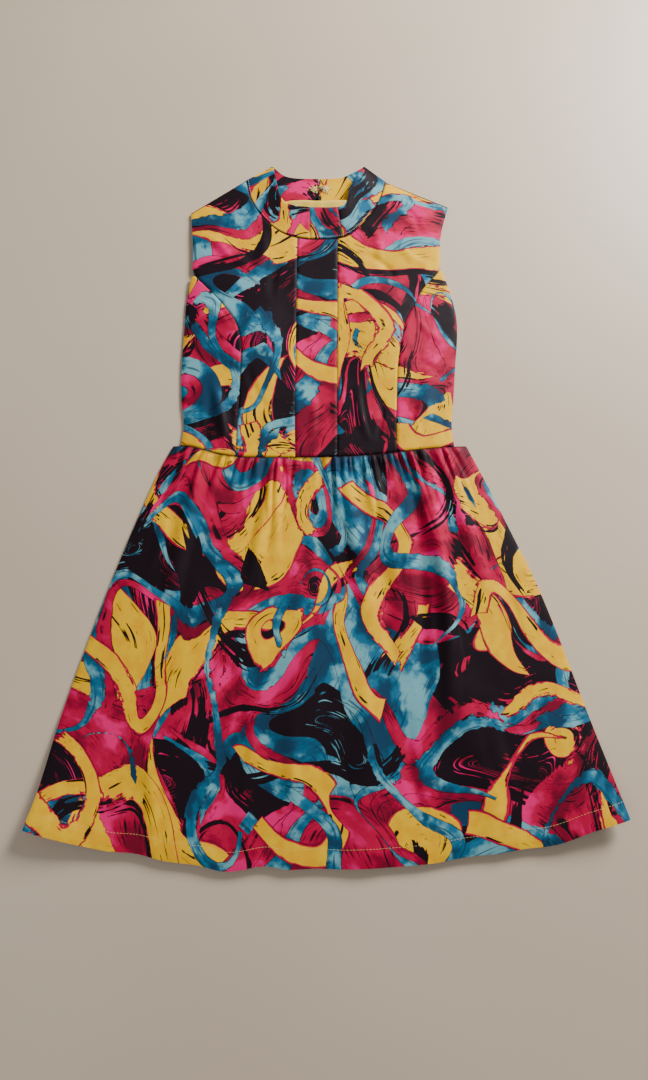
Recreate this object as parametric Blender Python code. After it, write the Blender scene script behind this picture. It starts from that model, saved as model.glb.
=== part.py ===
"""A sleeveless dress with a stand collar and a gathered skirt, laid flat on its back.

Metres, +Z up, +Y from the hem to the collar, +X to the right of someone who looks down on the front.
The origin is at the middle of the dress, on the floor. Left and right are the viewer's.
The tables are in millimetres, as on a paper pattern, and MM turns them into metres.
"""

import math
from typing import NamedTuple

import bmesh
import bpy
import numpy as np

MM = 0.001

# Cloth
WALL = 1.5 * MM
TAPE_WALL = 1.0 * MM
SEAM = 0.3 * MM
FRONT_FLOOR = WALL + SEAM

# Overall
HALF_WIDTH = 323.0
HALF_LENGTH = 419.5
CENTRE_BACK_X = 4.0

# How the layers lie
BODICE_LOFT = 3.2
SKIRT_LOFT = 4.2
LOFT_POWER = 0.7
EDGE_POWER = 8
ARMHOLE_GAPE = 1.8
ARMHOLE_FOOT = 236.0
ARMHOLE_HEAD = 350.0
ARMHOLE_RUN_IN = 28.0
SHOULDER_X = 156.0
SHOULDER_Y = 358.3
SHOULDER_SLOPE = 0.62
SHOULDER_RUN_IN = 22.0
COLLAR_BASE = 4.4
COLLAR_TOP = 8.6
COLLAR_RISE_POWER = 1.2
COLLAR_FOLD_SHARE = 0.10
FACING_GAP = 0.5
FACING_ROLL = 0.9
FACING_ROLL_RUN = 8.0
GATHER_START = 0.55
GATHER_FULL_AT = 9.0
GATHER_END = 1.15
FOLD_FADE_POWER = 0.8
CORNER_LIFT = 15.0
CORNER_LIFT_X = 175.0
CORNER_LIFT_Y = -215.0

# Mesh density
CURVE_STEPS = 12
GATHER_STEPS = 4
GATHER_PITCH = 8.0
PRINCESS_STEPS = 11
ARMHOLE_STEPS = 4
SHOULDER_STEPS = 4
SIDE_STEPS = 6
BACK_ROWS = 8
BACK_NECK_STEPS = 7
COLLAR_ROWS = 5
HEM_STEPS = 97
SKIRT_ROWS = (0.0, 0.09, 0.21, 0.35, 0.49, 0.63, 0.75, 0.84, 0.90, 0.94, 0.97, 0.988, 1.0)


class Section(NamedTuple):
    """The seams of the bodice at one height, as x positions."""

    y: float
    side_left: float
    princess_left: float
    centre_left: float
    centre_right: float
    princess_right: float
    side_right: float


# The princess seams run into the armholes at the row where they meet the sides.
BODICE = (
    Section(36, -168.0, -100.0, -30.0, 19.0, 89.0, 158.0),
    Section(75, -161.0, -98.0, -30.0, 20.0, 90.0, 155.0),
    Section(110, -164.0, -95.5, -29.5, 20.5, 91.5, 159.0),
    Section(150, -164.5, -93.5, -28.5, 21.5, 94.0, 163.0),
    Section(180, -163.0, -93.0, -28.0, 22.0, 99.0, 166.5),
    Section(207, -161.5, -99.5, -27.0, 23.0, 106.0, 167.5),
    Section(230, -160.5, -114.5, -26.5, 23.5, 118.0, 164.5),
    Section(250, -157.5, -131.0, -26.0, 24.0, 129.0, 159.5),
    Section(272, -153.5, -151.0, -25.5, 24.5, 148.0, 152.5),
    Section(295, -152.5, -152.5, -25.0, 25.0, 150.5, 150.5),
    Section(325, -153.5, -153.5, -24.0, 26.0, 154.0, 154.0),
    Section(360, -156.5, -156.5, -23.5, 26.5, 164.0, 164.0),
)
PRINCESS_TOP = {"left": 269.0, "right": 273.0}
ARMHOLE_START = 8.0
SHOULDER_TIP_LEFT = (-156.3, 355.3)
SHOULDER_TIP_RIGHT = (164.0, 360.0)


class Point(NamedTuple):
    """A point that a smooth seam or edge passes through."""

    x: float
    y: float


WAIST = (
    Point(-173.0, 53.5),
    Point(-153.0, 52.0),
    Point(-122.0, 42.5),
    Point(-90.0, 37.8),
    Point(-20.0, 36.2),
    Point(57.0, 38.0),
    Point(116.0, 43.7),
    Point(171.0, 48.4),
)
NECK_SEAM = (
    Point(-87.8, 400.2),
    Point(-82.5, 375.0),
    Point(-68.0, 348.7),
    Point(-46.0, 328.0),
    Point(-21.0, 318.8),
    Point(4.0, 317.0),
    Point(34.0, 320.0),
    Point(56.0, 336.3),
    Point(76.8, 364.9),
    Point(87.8, 395.4),
)
BACK_NECK_SEAM = (
    Point(-87.8, 400.2),
    Point(-62.0, 374.0),
    Point(CENTRE_BACK_X, 362.5),
    Point(64.0, 371.0),
    Point(87.8, 395.4),
)
COLLAR_FRONT_EDGE = (
    Point(-53.8, HALF_LENGTH),
    Point(-49.5, 393.0),
    Point(-44.5, 373.0),
    Point(-33.0, 362.1),
    Point(-8.1, 358.3),
    Point(25.5, 357.9),
    Point(37.5, 364.0),
    Point(42.8, 384.8),
    Point(51.5, 402.0),
    Point(60.8, 418.2),
)
COLLAR_BACK_EDGE = (
    Point(-53.8, HALF_LENGTH),
    Point(-39.5, 407.2),
    Point(-22.0, 403.3),
    Point(CENTRE_BACK_X, 402.6),
    Point(29.0, 403.1),
    Point(44.5, 409.3),
    Point(60.8, 418.2),
)
SKIRT_LEFT = (
    Point(-173.0, 53.5),
    Point(-193.2, 12.5),
    Point(-231.0, -81.2),
    Point(-266.9, -182.6),
    Point(-291.4, -258.6),
    Point(-309.7, -332.2),
    Point(-HALF_WIDTH, -372.6),
)
SKIRT_RIGHT = (
    Point(171.0, 48.4),
    Point(196.0, -5.4),
    Point(216.4, -53.3),
    Point(241.4, -112.0),
    Point(265.0, -180.5),
    Point(291.8, -268.9),
    Point(HALF_WIDTH, -373.6),
)
HEM_RISE = 46.4
HEM_POWER = 2.2
NECK_FRONT_Y = 318.0
BACK_HEM_STEP = 1.0
COLLAR_SEAM_LEFT = -8.4
COLLAR_SEAM_RIGHT = (32.0, 26.3)
FACING_FOOT = 346.0
FACING_BOW = 5.0
FACING_EDGE = (
    Point(-44.0, 369.5),
    Point(-33.0, 368.6),
    Point(4.0, 367.4),
    Point(26.0, 368.8),
    Point(39.5, 372.5),
)


class Wave(NamedTuple):
    """A wave of the hem: where it is, its half width and how far it pushes the edge out."""

    x: float
    half: float
    out: float


HEM_WAVES = (
    Wave(-205.0, 34.0, -3.0),
    Wave(-111.0, 32.0, 4.2),
    Wave(-66.0, 26.0, -3.4),
    Wave(-12.0, 34.0, -1.6),
    Wave(150.0, 40.0, -2.0),
    Wave(245.0, 44.0, 3.6),
)


class Gather(NamedTuple):
    """A small gather below the waist seam: its place on the seam, half width, height and length."""

    x: float
    half: float
    rise: float
    run: float


FRONT_GATHERS = (
    Gather(-163.0, 5.0, 1.4, 40.0),
    Gather(-154.0, 5.0, 2.2, 55.0),
    Gather(-144.5, 5.5, 2.8, 42.0),
    Gather(-134.0, 6.0, 3.4, 75.0),
    Gather(-124.0, 5.0, 2.4, 38.0),
    Gather(-114.0, 5.5, 2.0, 50.0),
    Gather(-103.5, 5.5, 2.7, 34.0),
    Gather(-93.0, 5.5, 2.2, 58.0),
    Gather(-82.0, 6.0, 3.0, 46.0),
    Gather(-70.5, 6.0, 2.4, 62.0),
    Gather(-59.5, 5.5, 2.2, 36.0),
    Gather(-49.0, 5.5, 4.0, 90.0),
    Gather(-38.5, 5.5, 2.4, 40.0),
    Gather(-27.5, 6.0, 3.2, 66.0),
    Gather(-16.0, 6.0, 2.0, 34.0),
    Gather(-4.5, 6.0, 2.6, 52.0),
    Gather(6.5, 5.5, 2.2, 38.0),
    Gather(17.5, 5.5, 2.9, 60.0),
    Gather(28.5, 5.5, 2.0, 32.0),
    Gather(39.0, 5.5, 2.8, 48.0),
    Gather(49.5, 5.5, 2.2, 64.0),
    Gather(60.5, 6.0, 3.8, 88.0),
    Gather(71.5, 5.5, 2.2, 36.0),
    Gather(82.0, 5.5, 3.0, 58.0),
    Gather(93.5, 6.0, 2.6, 44.0),
    Gather(105.5, 6.0, 2.4, 70.0),
    Gather(118.5, 7.0, 4.2, 105.0),
    Gather(132.0, 6.5, 2.4, 46.0),
    Gather(146.0, 6.5, 3.4, 80.0),
    Gather(159.5, 6.0, 1.8, 44.0),
)
BACK_GATHERS_LEFT = (
    Gather(-148.0, 6.5, 1.1, 36.0),
    Gather(-134.0, 6.5, 1.7, 50.0),
    Gather(-119.5, 7.0, 1.3, 34.0),
    Gather(-105.0, 6.5, 1.9, 56.0),
    Gather(-91.0, 6.5, 1.4, 40.0),
    Gather(-77.0, 6.5, 2.0, 60.0),
    Gather(-62.5, 7.0, 1.5, 38.0),
    Gather(-48.0, 6.5, 1.8, 52.0),
    Gather(-33.5, 7.0, 1.4, 36.0),
    Gather(-19.0, 6.5, 1.6, 44.0),
)
BACK_GATHERS_RIGHT = (
    Gather(27.0, 6.5, 1.5, 40.0),
    Gather(41.5, 7.0, 1.9, 54.0),
    Gather(56.0, 6.5, 1.3, 34.0),
    Gather(70.0, 6.5, 1.8, 58.0),
    Gather(84.5, 7.0, 1.4, 42.0),
    Gather(99.0, 6.5, 2.0, 50.0),
    Gather(113.0, 6.5, 1.5, 36.0),
    Gather(127.5, 7.0, 1.7, 46.0),
    Gather(142.0, 6.5, 1.1, 34.0),
)


class Fold(NamedTuple):
    """A long soft fold of the skirt. Shares of the width at its two ends, then distances from the waist."""

    across_top: float
    across_low: float
    start: float
    end: float
    half: float
    rise: float


FRONT_FOLDS = (
    Fold(0.115, 0.150, -20.0, 210.0, 16.0, 3.0),
    Fold(0.360, 0.320, -20.0, 190.0, 12.0, 2.6),
    Fold(0.585, 0.600, 10.0, 200.0, 15.0, 3.4),
    Fold(0.655, 0.640, 60.0, 260.0, 17.0, -2.4),
    Fold(0.850, 0.735, -20.0, 330.0, 15.0, 4.6),
    Fold(0.790, 0.690, 30.0, 280.0, 13.0, -2.6),
    Fold(0.905, 0.880, -10.0, 190.0, 14.0, 3.0),
    Fold(0.470, 0.440, 120.0, 420.0, 34.0, 2.2),
    Fold(0.220, 0.200, 150.0, 450.0, 36.0, 2.6),
    Fold(0.300, 0.330, 200.0, 470.0, 22.0, -2.0),
    Fold(0.590, 0.560, 230.0, 480.0, 30.0, 2.0),
    Fold(0.760, 0.800, 220.0, 480.0, 34.0, 2.4),
)
BACK_FOLDS = (
    Fold(0.160, 0.150, 60.0, 360.0, 22.0, 2.2),
    Fold(0.350, 0.330, 140.0, 440.0, 26.0, 2.4),
    Fold(0.680, 0.690, 90.0, 380.0, 24.0, 2.3),
    Fold(0.850, 0.860, 170.0, 430.0, 22.0, 1.8),
)


class Swell(NamedTuple):
    """A soft rise or hollow of the bodice, with its half sizes along and across its slope."""

    x: float
    y: float
    half_x: float
    half_y: float
    turn: float
    rise: float


BODICE_SWELLS = (
    Swell(-78.0, 186.0, 62.0, 92.0, 0.0, 4.6),
    Swell(80.0, 190.0, 62.0, 92.0, 0.0, 5.0),
    Swell(-118.0, 96.0, 13.0, 64.0, 10.0, 2.4),
    Swell(-132.0, 84.0, 10.0, 48.0, -6.0, -1.6),
    Swell(84.0, 284.0, 11.0, 36.0, -52.0, -1.8),
    Swell(128.0, 118.0, 14.0, 58.0, -8.0, 1.8),
    Swell(-106.0, 300.0, 12.0, 44.0, 48.0, 1.6),
    Swell(0.0, 120.0, 30.0, 90.0, 0.0, -1.0),
)

# Zip and slider
ZIP_HALF_WIDTH = 12.0
ZIP_TOP = 364.0
ZIP_FOOT = -108.0
TEETH_RISE = 0.3
TEETH_SHARE = 0.25
SLIDER_HALF_WIDTH = 2.6
SLIDER_TAIL = 0.6
SLIDER_LENGTH = 12.0
SLIDER_SHOULDER = 6.6
SLIDER_HEIGHT = 2.4
PLATE_BEVEL = 0.25

# Hook and eye, over the slit at the top of the centre back
HOOK_Y = 388.0
HOOK_HALF_WIDTH = 1.3
HOOK_REACH = 9.0
HOOK_METAL = 0.8
HOOK_BEND = 5.2
HOOK_BEND_RUN = 1.0
HOOK_TIP = 0.6
EYE_WIRE_RADIUS = 0.45
EYE_BEND_RADIUS = 1.9
EYE_BEND_X = 1.4
EYE_NECK = 3.0
EYE_REACH = 8.0
EYE_SPLAY = 1.2
SLIT_OPENING = 1.2
SLIT_FOOT = 384.0


class Finish(NamedTuple):
    """A material's name, base colour, roughness and metallic value."""

    name: str
    colour: tuple
    roughness: float
    metallic: float


CRIMSON = Finish("printed_crepe_crimson", (0.60, 0.02, 0.09), 0.62, 0.0)
YELLOW = Finish("printed_crepe_yellow", (0.76, 0.50, 0.04), 0.62, 0.0)
TEAL = Finish("printed_crepe_teal", (0.05, 0.20, 0.30), 0.62, 0.0)
AUBERGINE = Finish("printed_crepe_aubergine", (0.03, 0.01, 0.02), 0.62, 0.0)
FACING_YELLOW = Finish("facing_pale_yellow", (0.74, 0.60, 0.18), 0.66, 0.0)
ZIP_BLACK = Finish("zip_tape_dark", (0.03, 0.02, 0.03), 0.55, 0.0)
BRASS = Finish("aged_metal", (0.36, 0.31, 0.20), 0.38, 1.0)


def clear_scene():
    """Removes what the start-up scene holds."""
    for obj in list(bpy.data.objects):
        bpy.data.objects.remove(obj, do_unlink=True)


def material(finish):
    """Returns the finish's material, made once."""
    known = bpy.data.materials.get(finish.name)
    if known:
        return known
    made = bpy.data.materials.new(finish.name)
    made.use_nodes = True
    shader = made.node_tree.nodes["Principled BSDF"]
    shader.inputs["Base Color"].default_value = (*finish.colour, 1.0)
    shader.inputs["Roughness"].default_value = finish.roughness
    shader.inputs["Metallic"].default_value = finish.metallic
    return made


def smooth_curve(points):
    """Returns a fine polyline on the Catmull-Rom curve through the points."""
    knots = np.array(points, float)
    knots = np.vstack([2 * knots[0] - knots[1], knots, 2 * knots[-1] - knots[-2]])
    fine = []
    for before, here, there, after in zip(knots, knots[1:], knots[2:], knots[3:]):
        t = np.linspace(0, 1, CURVE_STEPS, endpoint=False)[:, None]
        bend = 2 * before - 5 * here + 4 * there - after
        twist = 3 * (here - there) + after - before
        fine.append(here + 0.5 * t * ((there - before) + t * (bend + t * twist)))
    return np.vstack([*fine, knots[-2:-1]])


def shares_of(line):
    """Returns each point's share of the polyline's length."""
    run = np.concatenate([[0], np.cumsum(np.linalg.norm(np.diff(line, axis=0), axis=1))])
    return run / run[-1]


def at_shares(line, shares):
    """Returns the points of the polyline at shares of its length."""
    here = shares_of(line)
    return np.stack([np.interp(shares, here, line[:, axis]) for axis in (0, 1)], 1)


def even(line, steps):
    """Returns the polyline with its points at equal distances."""
    return at_shares(np.array(line, float), np.linspace(0, 1, steps + 1))


def joined(*lines):
    """Returns one polyline of several, each of which starts where the last one ends."""
    return np.vstack([lines[0], *(line[1:] for line in lines[1:])])


def between(line, first_x, last_x, steps):
    """Returns the stretch of a left-to-right line between two x positions, in equal steps."""
    inside = line[(line[:, 0] > first_x) & (line[:, 0] < last_x)]
    ends = [(x, np.interp(x, line[:, 0], line[:, 1])) for x in (first_x, last_x)]
    return even(np.vstack([ends[0], inside, ends[1]]), steps)


def seam_x(name, y):
    """Returns the x of a bodice seam at a height, on the smooth curve through the sections."""
    rows = smooth_curve([(row.y, getattr(row, name)) for row in BODICE])
    return np.interp(y, rows[:, 0], rows[:, 1])


def waist_y(x):
    """Returns the height of the waist seam."""
    line = smooth_curve(WAIST)
    return np.interp(x, line[:, 0], line[:, 1])


def waist_x(name):
    """Returns where a bodice seam meets the waist."""
    return float(seam_x(name, BODICE[0].y))


def seam_line(name, top, steps, foot=None):
    """Returns a bodice seam from the waist, or another height, up to a height."""
    foot = waist_y(waist_x(name)) if foot is None else foot
    y = np.linspace(foot, top, steps + 1)
    return np.stack([seam_x(name, y), y], 1)


def hem_line(first_x, last_x, lowest=None):
    """Returns the hem's edge: a flat arc, with its waves."""
    lowest = -HALF_LENGTH if lowest is None else lowest
    x = np.linspace(first_x, last_x, HEM_STEPS)
    y = -HALF_LENGTH + HEM_RISE * np.abs(x / HALF_WIDTH) ** HEM_POWER
    for wave in HEM_WAVES:
        y = y - wave.out * bump((x - wave.x) / wave.half)
    return np.stack([x, np.maximum(y, lowest)], 1)


def bump(distance):
    """A soft hump: 1 in the middle, 0 from a distance of 1 on."""
    return np.cos(np.clip(np.abs(distance), 0, 1) * math.pi / 2) ** 2


def ramp(value):
    """A soft step from 0 to 1."""
    value = np.clip(value, 0, 1)
    return value * value * (3 - 2 * value)


class Sheet(NamedTuple):
    """A panel laid out in a plane: its points by row and column, with their shares of width and height."""

    x: np.ndarray
    y: np.ndarray
    across: np.ndarray
    up: np.ndarray


def patch(foot, head, left, right, seams):
    """Fills four edges with a grid through their points. Sewn edges step back by half a gap.

    The foot and the head run left to right, with as many points as each other.
    The left and the right run from foot to head, with as many points as each other.
    """
    columns = (shares_of(foot) + shares_of(head)) / 2
    rows = (shares_of(left) + shares_of(right)) / 2
    across, up = np.meshgrid(columns, rows)
    u, v = across[..., None], up[..., None]
    grid = (1 - v) * foot[None] + v * head[None] + (1 - u) * left[:, None] + u * right[:, None]
    grid -= (1 - u) * ((1 - v) * foot[0] + v * head[0])
    grid -= u * ((1 - v) * foot[-1] + v * head[-1])
    moved = grid.copy()
    edges = {
        "foot": ((0, slice(None)), 1),
        "head": ((-1, slice(None)), -1),
        "left": ((slice(None), 0), -1),
        "right": ((slice(None), -1), 1),
    }
    for name in seams:
        where, turn = edges[name]
        along = np.gradient(grid[where], axis=0)
        along /= np.linalg.norm(along, axis=1)[:, None]
        inward = np.stack([-along[:, 1], along[:, 0]], 1) * turn
        moved[where] += inward * SEAM / MM / 2
    return Sheet(moved[..., 0], moved[..., 1], across, up)


def cloth(name, sheet, under, finish, wall=WALL):
    """Makes a wall of cloth. Its underside is the sheet at the heights in under, in millimetres."""
    mesh = bpy.data.meshes.new(name)
    shape = bmesh.new()
    rows, columns = sheet.x.shape
    places = np.stack([sheet.x, sheet.y, under], -1) * MM
    points = [[shape.verts.new(place) for place in row] for row in places]
    for j in range(rows - 1):
        for i in range(columns - 1):
            corner = (points[j][i], points[j][i + 1], points[j + 1][i + 1], points[j + 1][i])
            shape.faces.new(corner)
    made = bmesh.ops.extrude_face_region(shape, geom=shape.faces[:], use_keep_orig=True)
    top = [item for item in made["geom"] if isinstance(item, bmesh.types.BMVert)]
    bmesh.ops.translate(shape, vec=(0, 0, wall), verts=top)
    bmesh.ops.recalc_face_normals(shape, faces=shape.faces[:])
    shape.to_mesh(mesh)
    shape.free()
    mesh.shade_smooth()
    mesh.set_sharp_from_angle(angle=math.radians(50))
    obj = bpy.data.objects.new(name, mesh)
    obj.data.materials.append(material(finish))
    bpy.context.scene.collection.objects.link(obj)
    return obj


def corner_lift(x, y):
    """The hem's two corners curl up off the floor."""
    outward = ramp((np.abs(x) - CORNER_LIFT_X) / (HALF_WIDTH - CORNER_LIFT_X)) ** 2
    down = ramp((CORNER_LIFT_Y - y) / (HALF_LENGTH + CORNER_LIFT_Y))
    return CORNER_LIFT * outward * down


def bodice_height(x, y):
    """Underside of the front bodice: it rests on the back at its edges and swells between them."""
    left = seam_x("side_left", y)
    right = seam_x("side_right", y)
    share = np.abs(2 * (x - left) / (right - left) - 1)
    edge = 1 - np.clip(share, 0, 1) ** EDGE_POWER
    shoulder = SHOULDER_Y + (SHOULDER_X - np.abs(x)) * SHOULDER_SLOPE
    edge = edge * ramp((shoulder - y) / SHOULDER_RUN_IN)
    gape = ARMHOLE_GAPE * ramp((y - ARMHOLE_FOOT) / ARMHOLE_RUN_IN) * share**4
    gape = gape * ramp((ARMHOLE_HEAD - y) / ARMHOLE_RUN_IN)
    height = FRONT_FLOOR / MM + BODICE_LOFT * edge + gape
    for swell in BODICE_SWELLS:
        turn = math.radians(swell.turn)
        along = (x - swell.x) * math.cos(turn) + (y - swell.y) * math.sin(turn)
        beside = (y - swell.y) * math.cos(turn) - (x - swell.x) * math.sin(turn)
        distance = np.hypot(along / swell.half_x, beside / swell.half_y)
        height = height + swell.rise * bump(distance) * edge
    return height


def gathered(sheet, gathers):
    """The gathers' height: soft ridges that start in the waist seam and die away down the skirt."""
    down = np.hypot(sheet.x - sheet.x[-1], sheet.y - sheet.y[-1])
    height = np.zeros_like(sheet.x)
    for gather in gathers:
        grown = GATHER_START + (1 - GATHER_START) * ramp(down / GATHER_FULL_AT)
        fade = grown * ramp(GATHER_END - down / gather.run)
        height += gather.rise * bump((sheet.x[-1] - gather.x) / gather.half) * fade
    return height


def folded(sheet, folds, whole_across):
    """The long folds' height."""
    width = np.ptp(sheet.x, axis=1)[:, None] / np.ptp(whole_across)
    down = np.hypot(sheet.x - sheet.x[-1], sheet.y - sheet.y[-1])
    height = np.zeros_like(sheet.x)
    for fold in folds:
        share = np.clip((down - fold.start) / (fold.end - fold.start), 0, 1)
        middle = fold.across_top + (fold.across_low - fold.across_top) * share
        fade = np.sin(share * math.pi) ** FOLD_FADE_POWER
        height += fold.rise * bump((whole_across - middle) * width / fold.half) * fade
    return height


def gather_points(gathers, first_x, last_x):
    """Returns points along the waist seam, in equal steps from each gather to the next."""
    stops = [first_x, *(gather.x for gather in gathers), last_x]
    x = [last_x]
    for here, there in zip(stops, stops[1:]):
        steps = GATHER_STEPS if there - here > GATHER_PITCH else GATHER_STEPS // 2
        x += list(np.linspace(here, there, steps, endpoint=False))
    x = np.sort(x)
    return np.stack([x, waist_y(x)], 1)


def neck_points():
    """Returns the front neck seam's points, and how many lie before each stop.

    The stops are where the bodice's and the collar's seams meet it.
    """
    neck = smooth_curve(NECK_SEAM)
    stops = (
        (NECK_SEAM[0].x, 0),
        (float(seam_x("centre_left", NECK_FRONT_Y)), 8),
        (COLLAR_SEAM_LEFT, 2),
        (float(seam_x("centre_right", NECK_FRONT_Y)), 4),
        (COLLAR_SEAM_RIGHT[0], 1),
        (NECK_SEAM[-1].x, 8),
    )
    pairs = zip(stops, stops[1:])
    stretches = [between(neck, here[0], there[0], there[1]) for here, there in pairs]
    counts = np.cumsum([steps for _, steps in stops])
    return joined(*stretches), counts


def make_front_bodice():
    """The front's five panels: the centre strip, the panels beside it and the two side fronts."""
    waist = smooth_curve(WAIST)
    neck, stops = neck_points()
    sewn = ("foot", "head", "left", "right")
    rows = PRINCESS_STEPS + ARMHOLE_STEPS
    centre = {
        "left": seam_line("centre_left", neck[stops[1]][1], rows),
        "right": seam_line("centre_right", neck[stops[3]][1], rows),
    }

    sheet = patch(
        between(waist, waist_x("centre_left"), waist_x("centre_right"), stops[3] - stops[1]),
        neck[stops[1] : stops[3] + 1],
        centre["left"],
        centre["right"],
        sewn,
    )
    cloth("front_centre_panel", sheet, bodice_height(sheet.x, sheet.y), CRIMSON)

    for side, tip, finish in (("left", SHOULDER_TIP_LEFT, YELLOW), ("right", SHOULDER_TIP_RIGHT, CRIMSON)):
        top = PRINCESS_TOP[side]
        princess = seam_line(f"princess_{side}", top, PRINCESS_STEPS)
        armhole = seam_line(f"side_{side}", tip[1], ARMHOLE_STEPS, top + ARMHOLE_START)
        armhole = np.vstack([princess[-1:], armhole[1:-1], [tip]])
        outer = joined(princess, armhole)
        if side == "left":
            head = joined(even([tip, NECK_SEAM[0]], SHOULDER_STEPS), neck[: stops[1] + 1])
            foot = between(waist, waist_x("princess_left"), waist_x("centre_left"), len(head) - 1)
            sheet = patch(foot, head, outer, centre["left"], sewn)
        else:
            head = joined(neck[stops[3] :], even([NECK_SEAM[-1], tip], SHOULDER_STEPS))
            foot = between(waist, waist_x("centre_right"), waist_x("princess_right"), len(head) - 1)
            sheet = patch(foot, head, centre["right"], outer, sewn)
        cloth(f"front_panel_{side}", sheet, bodice_height(sheet.x, sheet.y), finish)

    for side, finish in (("left", TEAL), ("right", AUBERGINE)):
        top = PRINCESS_TOP[side]
        edge = seam_line(f"side_{side}", top, PRINCESS_STEPS)
        princess = seam_line(f"princess_{side}", top, PRINCESS_STEPS)
        first, last = (edge, princess) if side == "left" else (princess, edge)
        foot = between(waist, first[0, 0], last[0, 0], SIDE_STEPS)
        head = even([first[-1], last[-1]], SIDE_STEPS)
        sheet = patch(foot, head, first, last, ("foot", "right" if side == "left" else "left"))
        cloth(f"side_front_{side}", sheet, bodice_height(sheet.x, sheet.y), finish)


def back_neck_points(side):
    """Returns the back neck seam's points on one side of the centre back."""
    line = smooth_curve(BACK_NECK_SEAM)
    first, last = (line[0, 0], CENTRE_BACK_X) if side == "left" else (CENTRE_BACK_X, line[-1, 0])
    return between(line, first, last, BACK_NECK_STEPS)


def make_back_bodice():
    """The back's two halves, flat on the floor."""
    waist = smooth_curve(WAIST)
    centre = even([(CENTRE_BACK_X, waist_y(CENTRE_BACK_X)), BACK_NECK_SEAM[2]], BACK_ROWS)
    for side, tip, finish in (("left", SHOULDER_TIP_LEFT, TEAL), ("right", SHOULDER_TIP_RIGHT, YELLOW)):
        edge = np.vstack([seam_line(f"side_{side}", tip[1] - 3, BACK_ROWS)[:-1], [tip]])
        neck = back_neck_points(side)
        if side == "left":
            head = joined(even([tip, neck[0]], SHOULDER_STEPS), neck)
            foot = between(waist, waist_x("side_left"), CENTRE_BACK_X, len(head) - 1)
            sheet = patch(foot, head, edge, centre, ("foot", "head", "right"))
        else:
            head = joined(neck, even([neck[-1], tip], SHOULDER_STEPS))
            foot = between(waist, CENTRE_BACK_X, waist_x("side_right"), len(head) - 1)
            sheet = patch(foot, head, centre, edge, ("foot", "head", "left"))
        cloth(f"back_bodice_{side}", sheet, np.zeros_like(sheet.x), finish)


def collar_height(sheet, start, end):
    """Underside of the front collar: it stands off the back one, and lies down on it at its two folds."""
    along = start + (end - start) * sheet.across
    fold = ramp(np.minimum(along, 1 - along) / COLLAR_FOLD_SHARE)
    rise = COLLAR_BASE + (COLLAR_TOP - COLLAR_BASE) * sheet.up**COLLAR_RISE_POWER
    return FRONT_FLOOR / MM + (rise - FRONT_FLOOR / MM) * fold


def make_front_collar():
    """The front of the stand collar, in three pieces."""
    neck, stops = neck_points()
    edge = smooth_curve(COLLAR_FRONT_EDGE)
    cuts = (edge[0, 0], COLLAR_SEAM_LEFT, COLLAR_SEAM_RIGHT[1], edge[-1, 0])
    reach = shares_of(neck)
    for name, first, last, head_from, seams, finish in (
        ("collar_front_left", stops[0], stops[2], 0, ("foot", "right"), AUBERGINE),
        ("collar_front_centre", stops[2], stops[4], 1, ("foot", "left", "right"), CRIMSON),
        ("collar_front_right", stops[4], stops[5], 2, ("foot", "left"), TEAL),
    ):
        foot = neck[first : last + 1]
        head = at_shares(between(edge, cuts[head_from], cuts[head_from + 1], HEM_STEPS), shares_of(foot))
        ends = [even([foot[end], head[end]], COLLAR_ROWS) for end in (0, -1)]
        sheet = patch(foot, head, *ends, seams)
        cloth(name, sheet, collar_height(sheet, reach[first], reach[last]), finish)


def make_back_collar():
    """The back of the stand collar, in two halves that gape a little at the top of the centre back."""
    edge = smooth_curve(COLLAR_BACK_EDGE)
    for side, turn, finish in (("left", -1, CRIMSON), ("right", 1, AUBERGINE)):
        slit = slit_edge(turn)
        foot = back_neck_points(side)
        if side == "left":
            head = between(edge, edge[0, 0], slit[-1, 0], BACK_NECK_STEPS)
            sheet = patch(foot, head, even([foot[0], head[0]], COLLAR_ROWS), slit, ("foot", "right"))
        else:
            head = between(edge, slit[-1, 0], edge[-1, 0], BACK_NECK_STEPS)
            sheet = patch(foot, head, slit, even([foot[-1], head[-1]], COLLAR_ROWS), ("foot", "left"))
        cloth(f"collar_back_{side}", sheet, np.zeros_like(sheet.x), finish)


def slit_edge(turn):
    """The collar's centre-back edge, which gapes towards the top."""
    top = COLLAR_BACK_EDGE[3].y
    y = np.linspace(BACK_NECK_SEAM[2].y, top, COLLAR_ROWS + 1)
    gape = SLIT_OPENING * ramp((y - SLIT_FOOT) / (top - SLIT_FOOT))
    return np.stack([CENTRE_BACK_X + turn * gape, y], 1)


def make_collar_facing():
    """The facing, rolled up past the front collar's top edge as a crescent."""
    outer = even(smooth_curve(FACING_EDGE), 12)
    inner = outer.copy()
    inner[:, 1] = FACING_FOOT + FACING_BOW * np.linspace(-1, 1, len(outer)) ** 2
    ends = [even([inner[end], outer[end]], COLLAR_ROWS) for end in (0, -1)]
    sheet = patch(inner, outer, *ends, ())
    cloth("collar_facing", sheet, facing_height(sheet), FACING_YELLOW, TAPE_WALL)


def facing_height(sheet):
    """Underside of the facing: close below the front collar, then rolled up past its top edge."""
    neck = smooth_curve(NECK_SEAM[2:9])
    edge = smooth_curve(COLLAR_FRONT_EDGE[2:8])
    low = np.interp(sheet.x, neck[:, 0], neck[:, 1])
    high = np.interp(sheet.x, edge[:, 0], edge[:, 1])
    up = np.clip((sheet.y - low) / (high - low), 0, 1)
    collar = COLLAR_BASE + (COLLAR_TOP - COLLAR_BASE) * up**COLLAR_RISE_POWER
    roll = FACING_ROLL * ramp((sheet.y - high) / FACING_ROLL_RUN)
    return collar - TAPE_WALL / MM - FACING_GAP + roll


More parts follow.
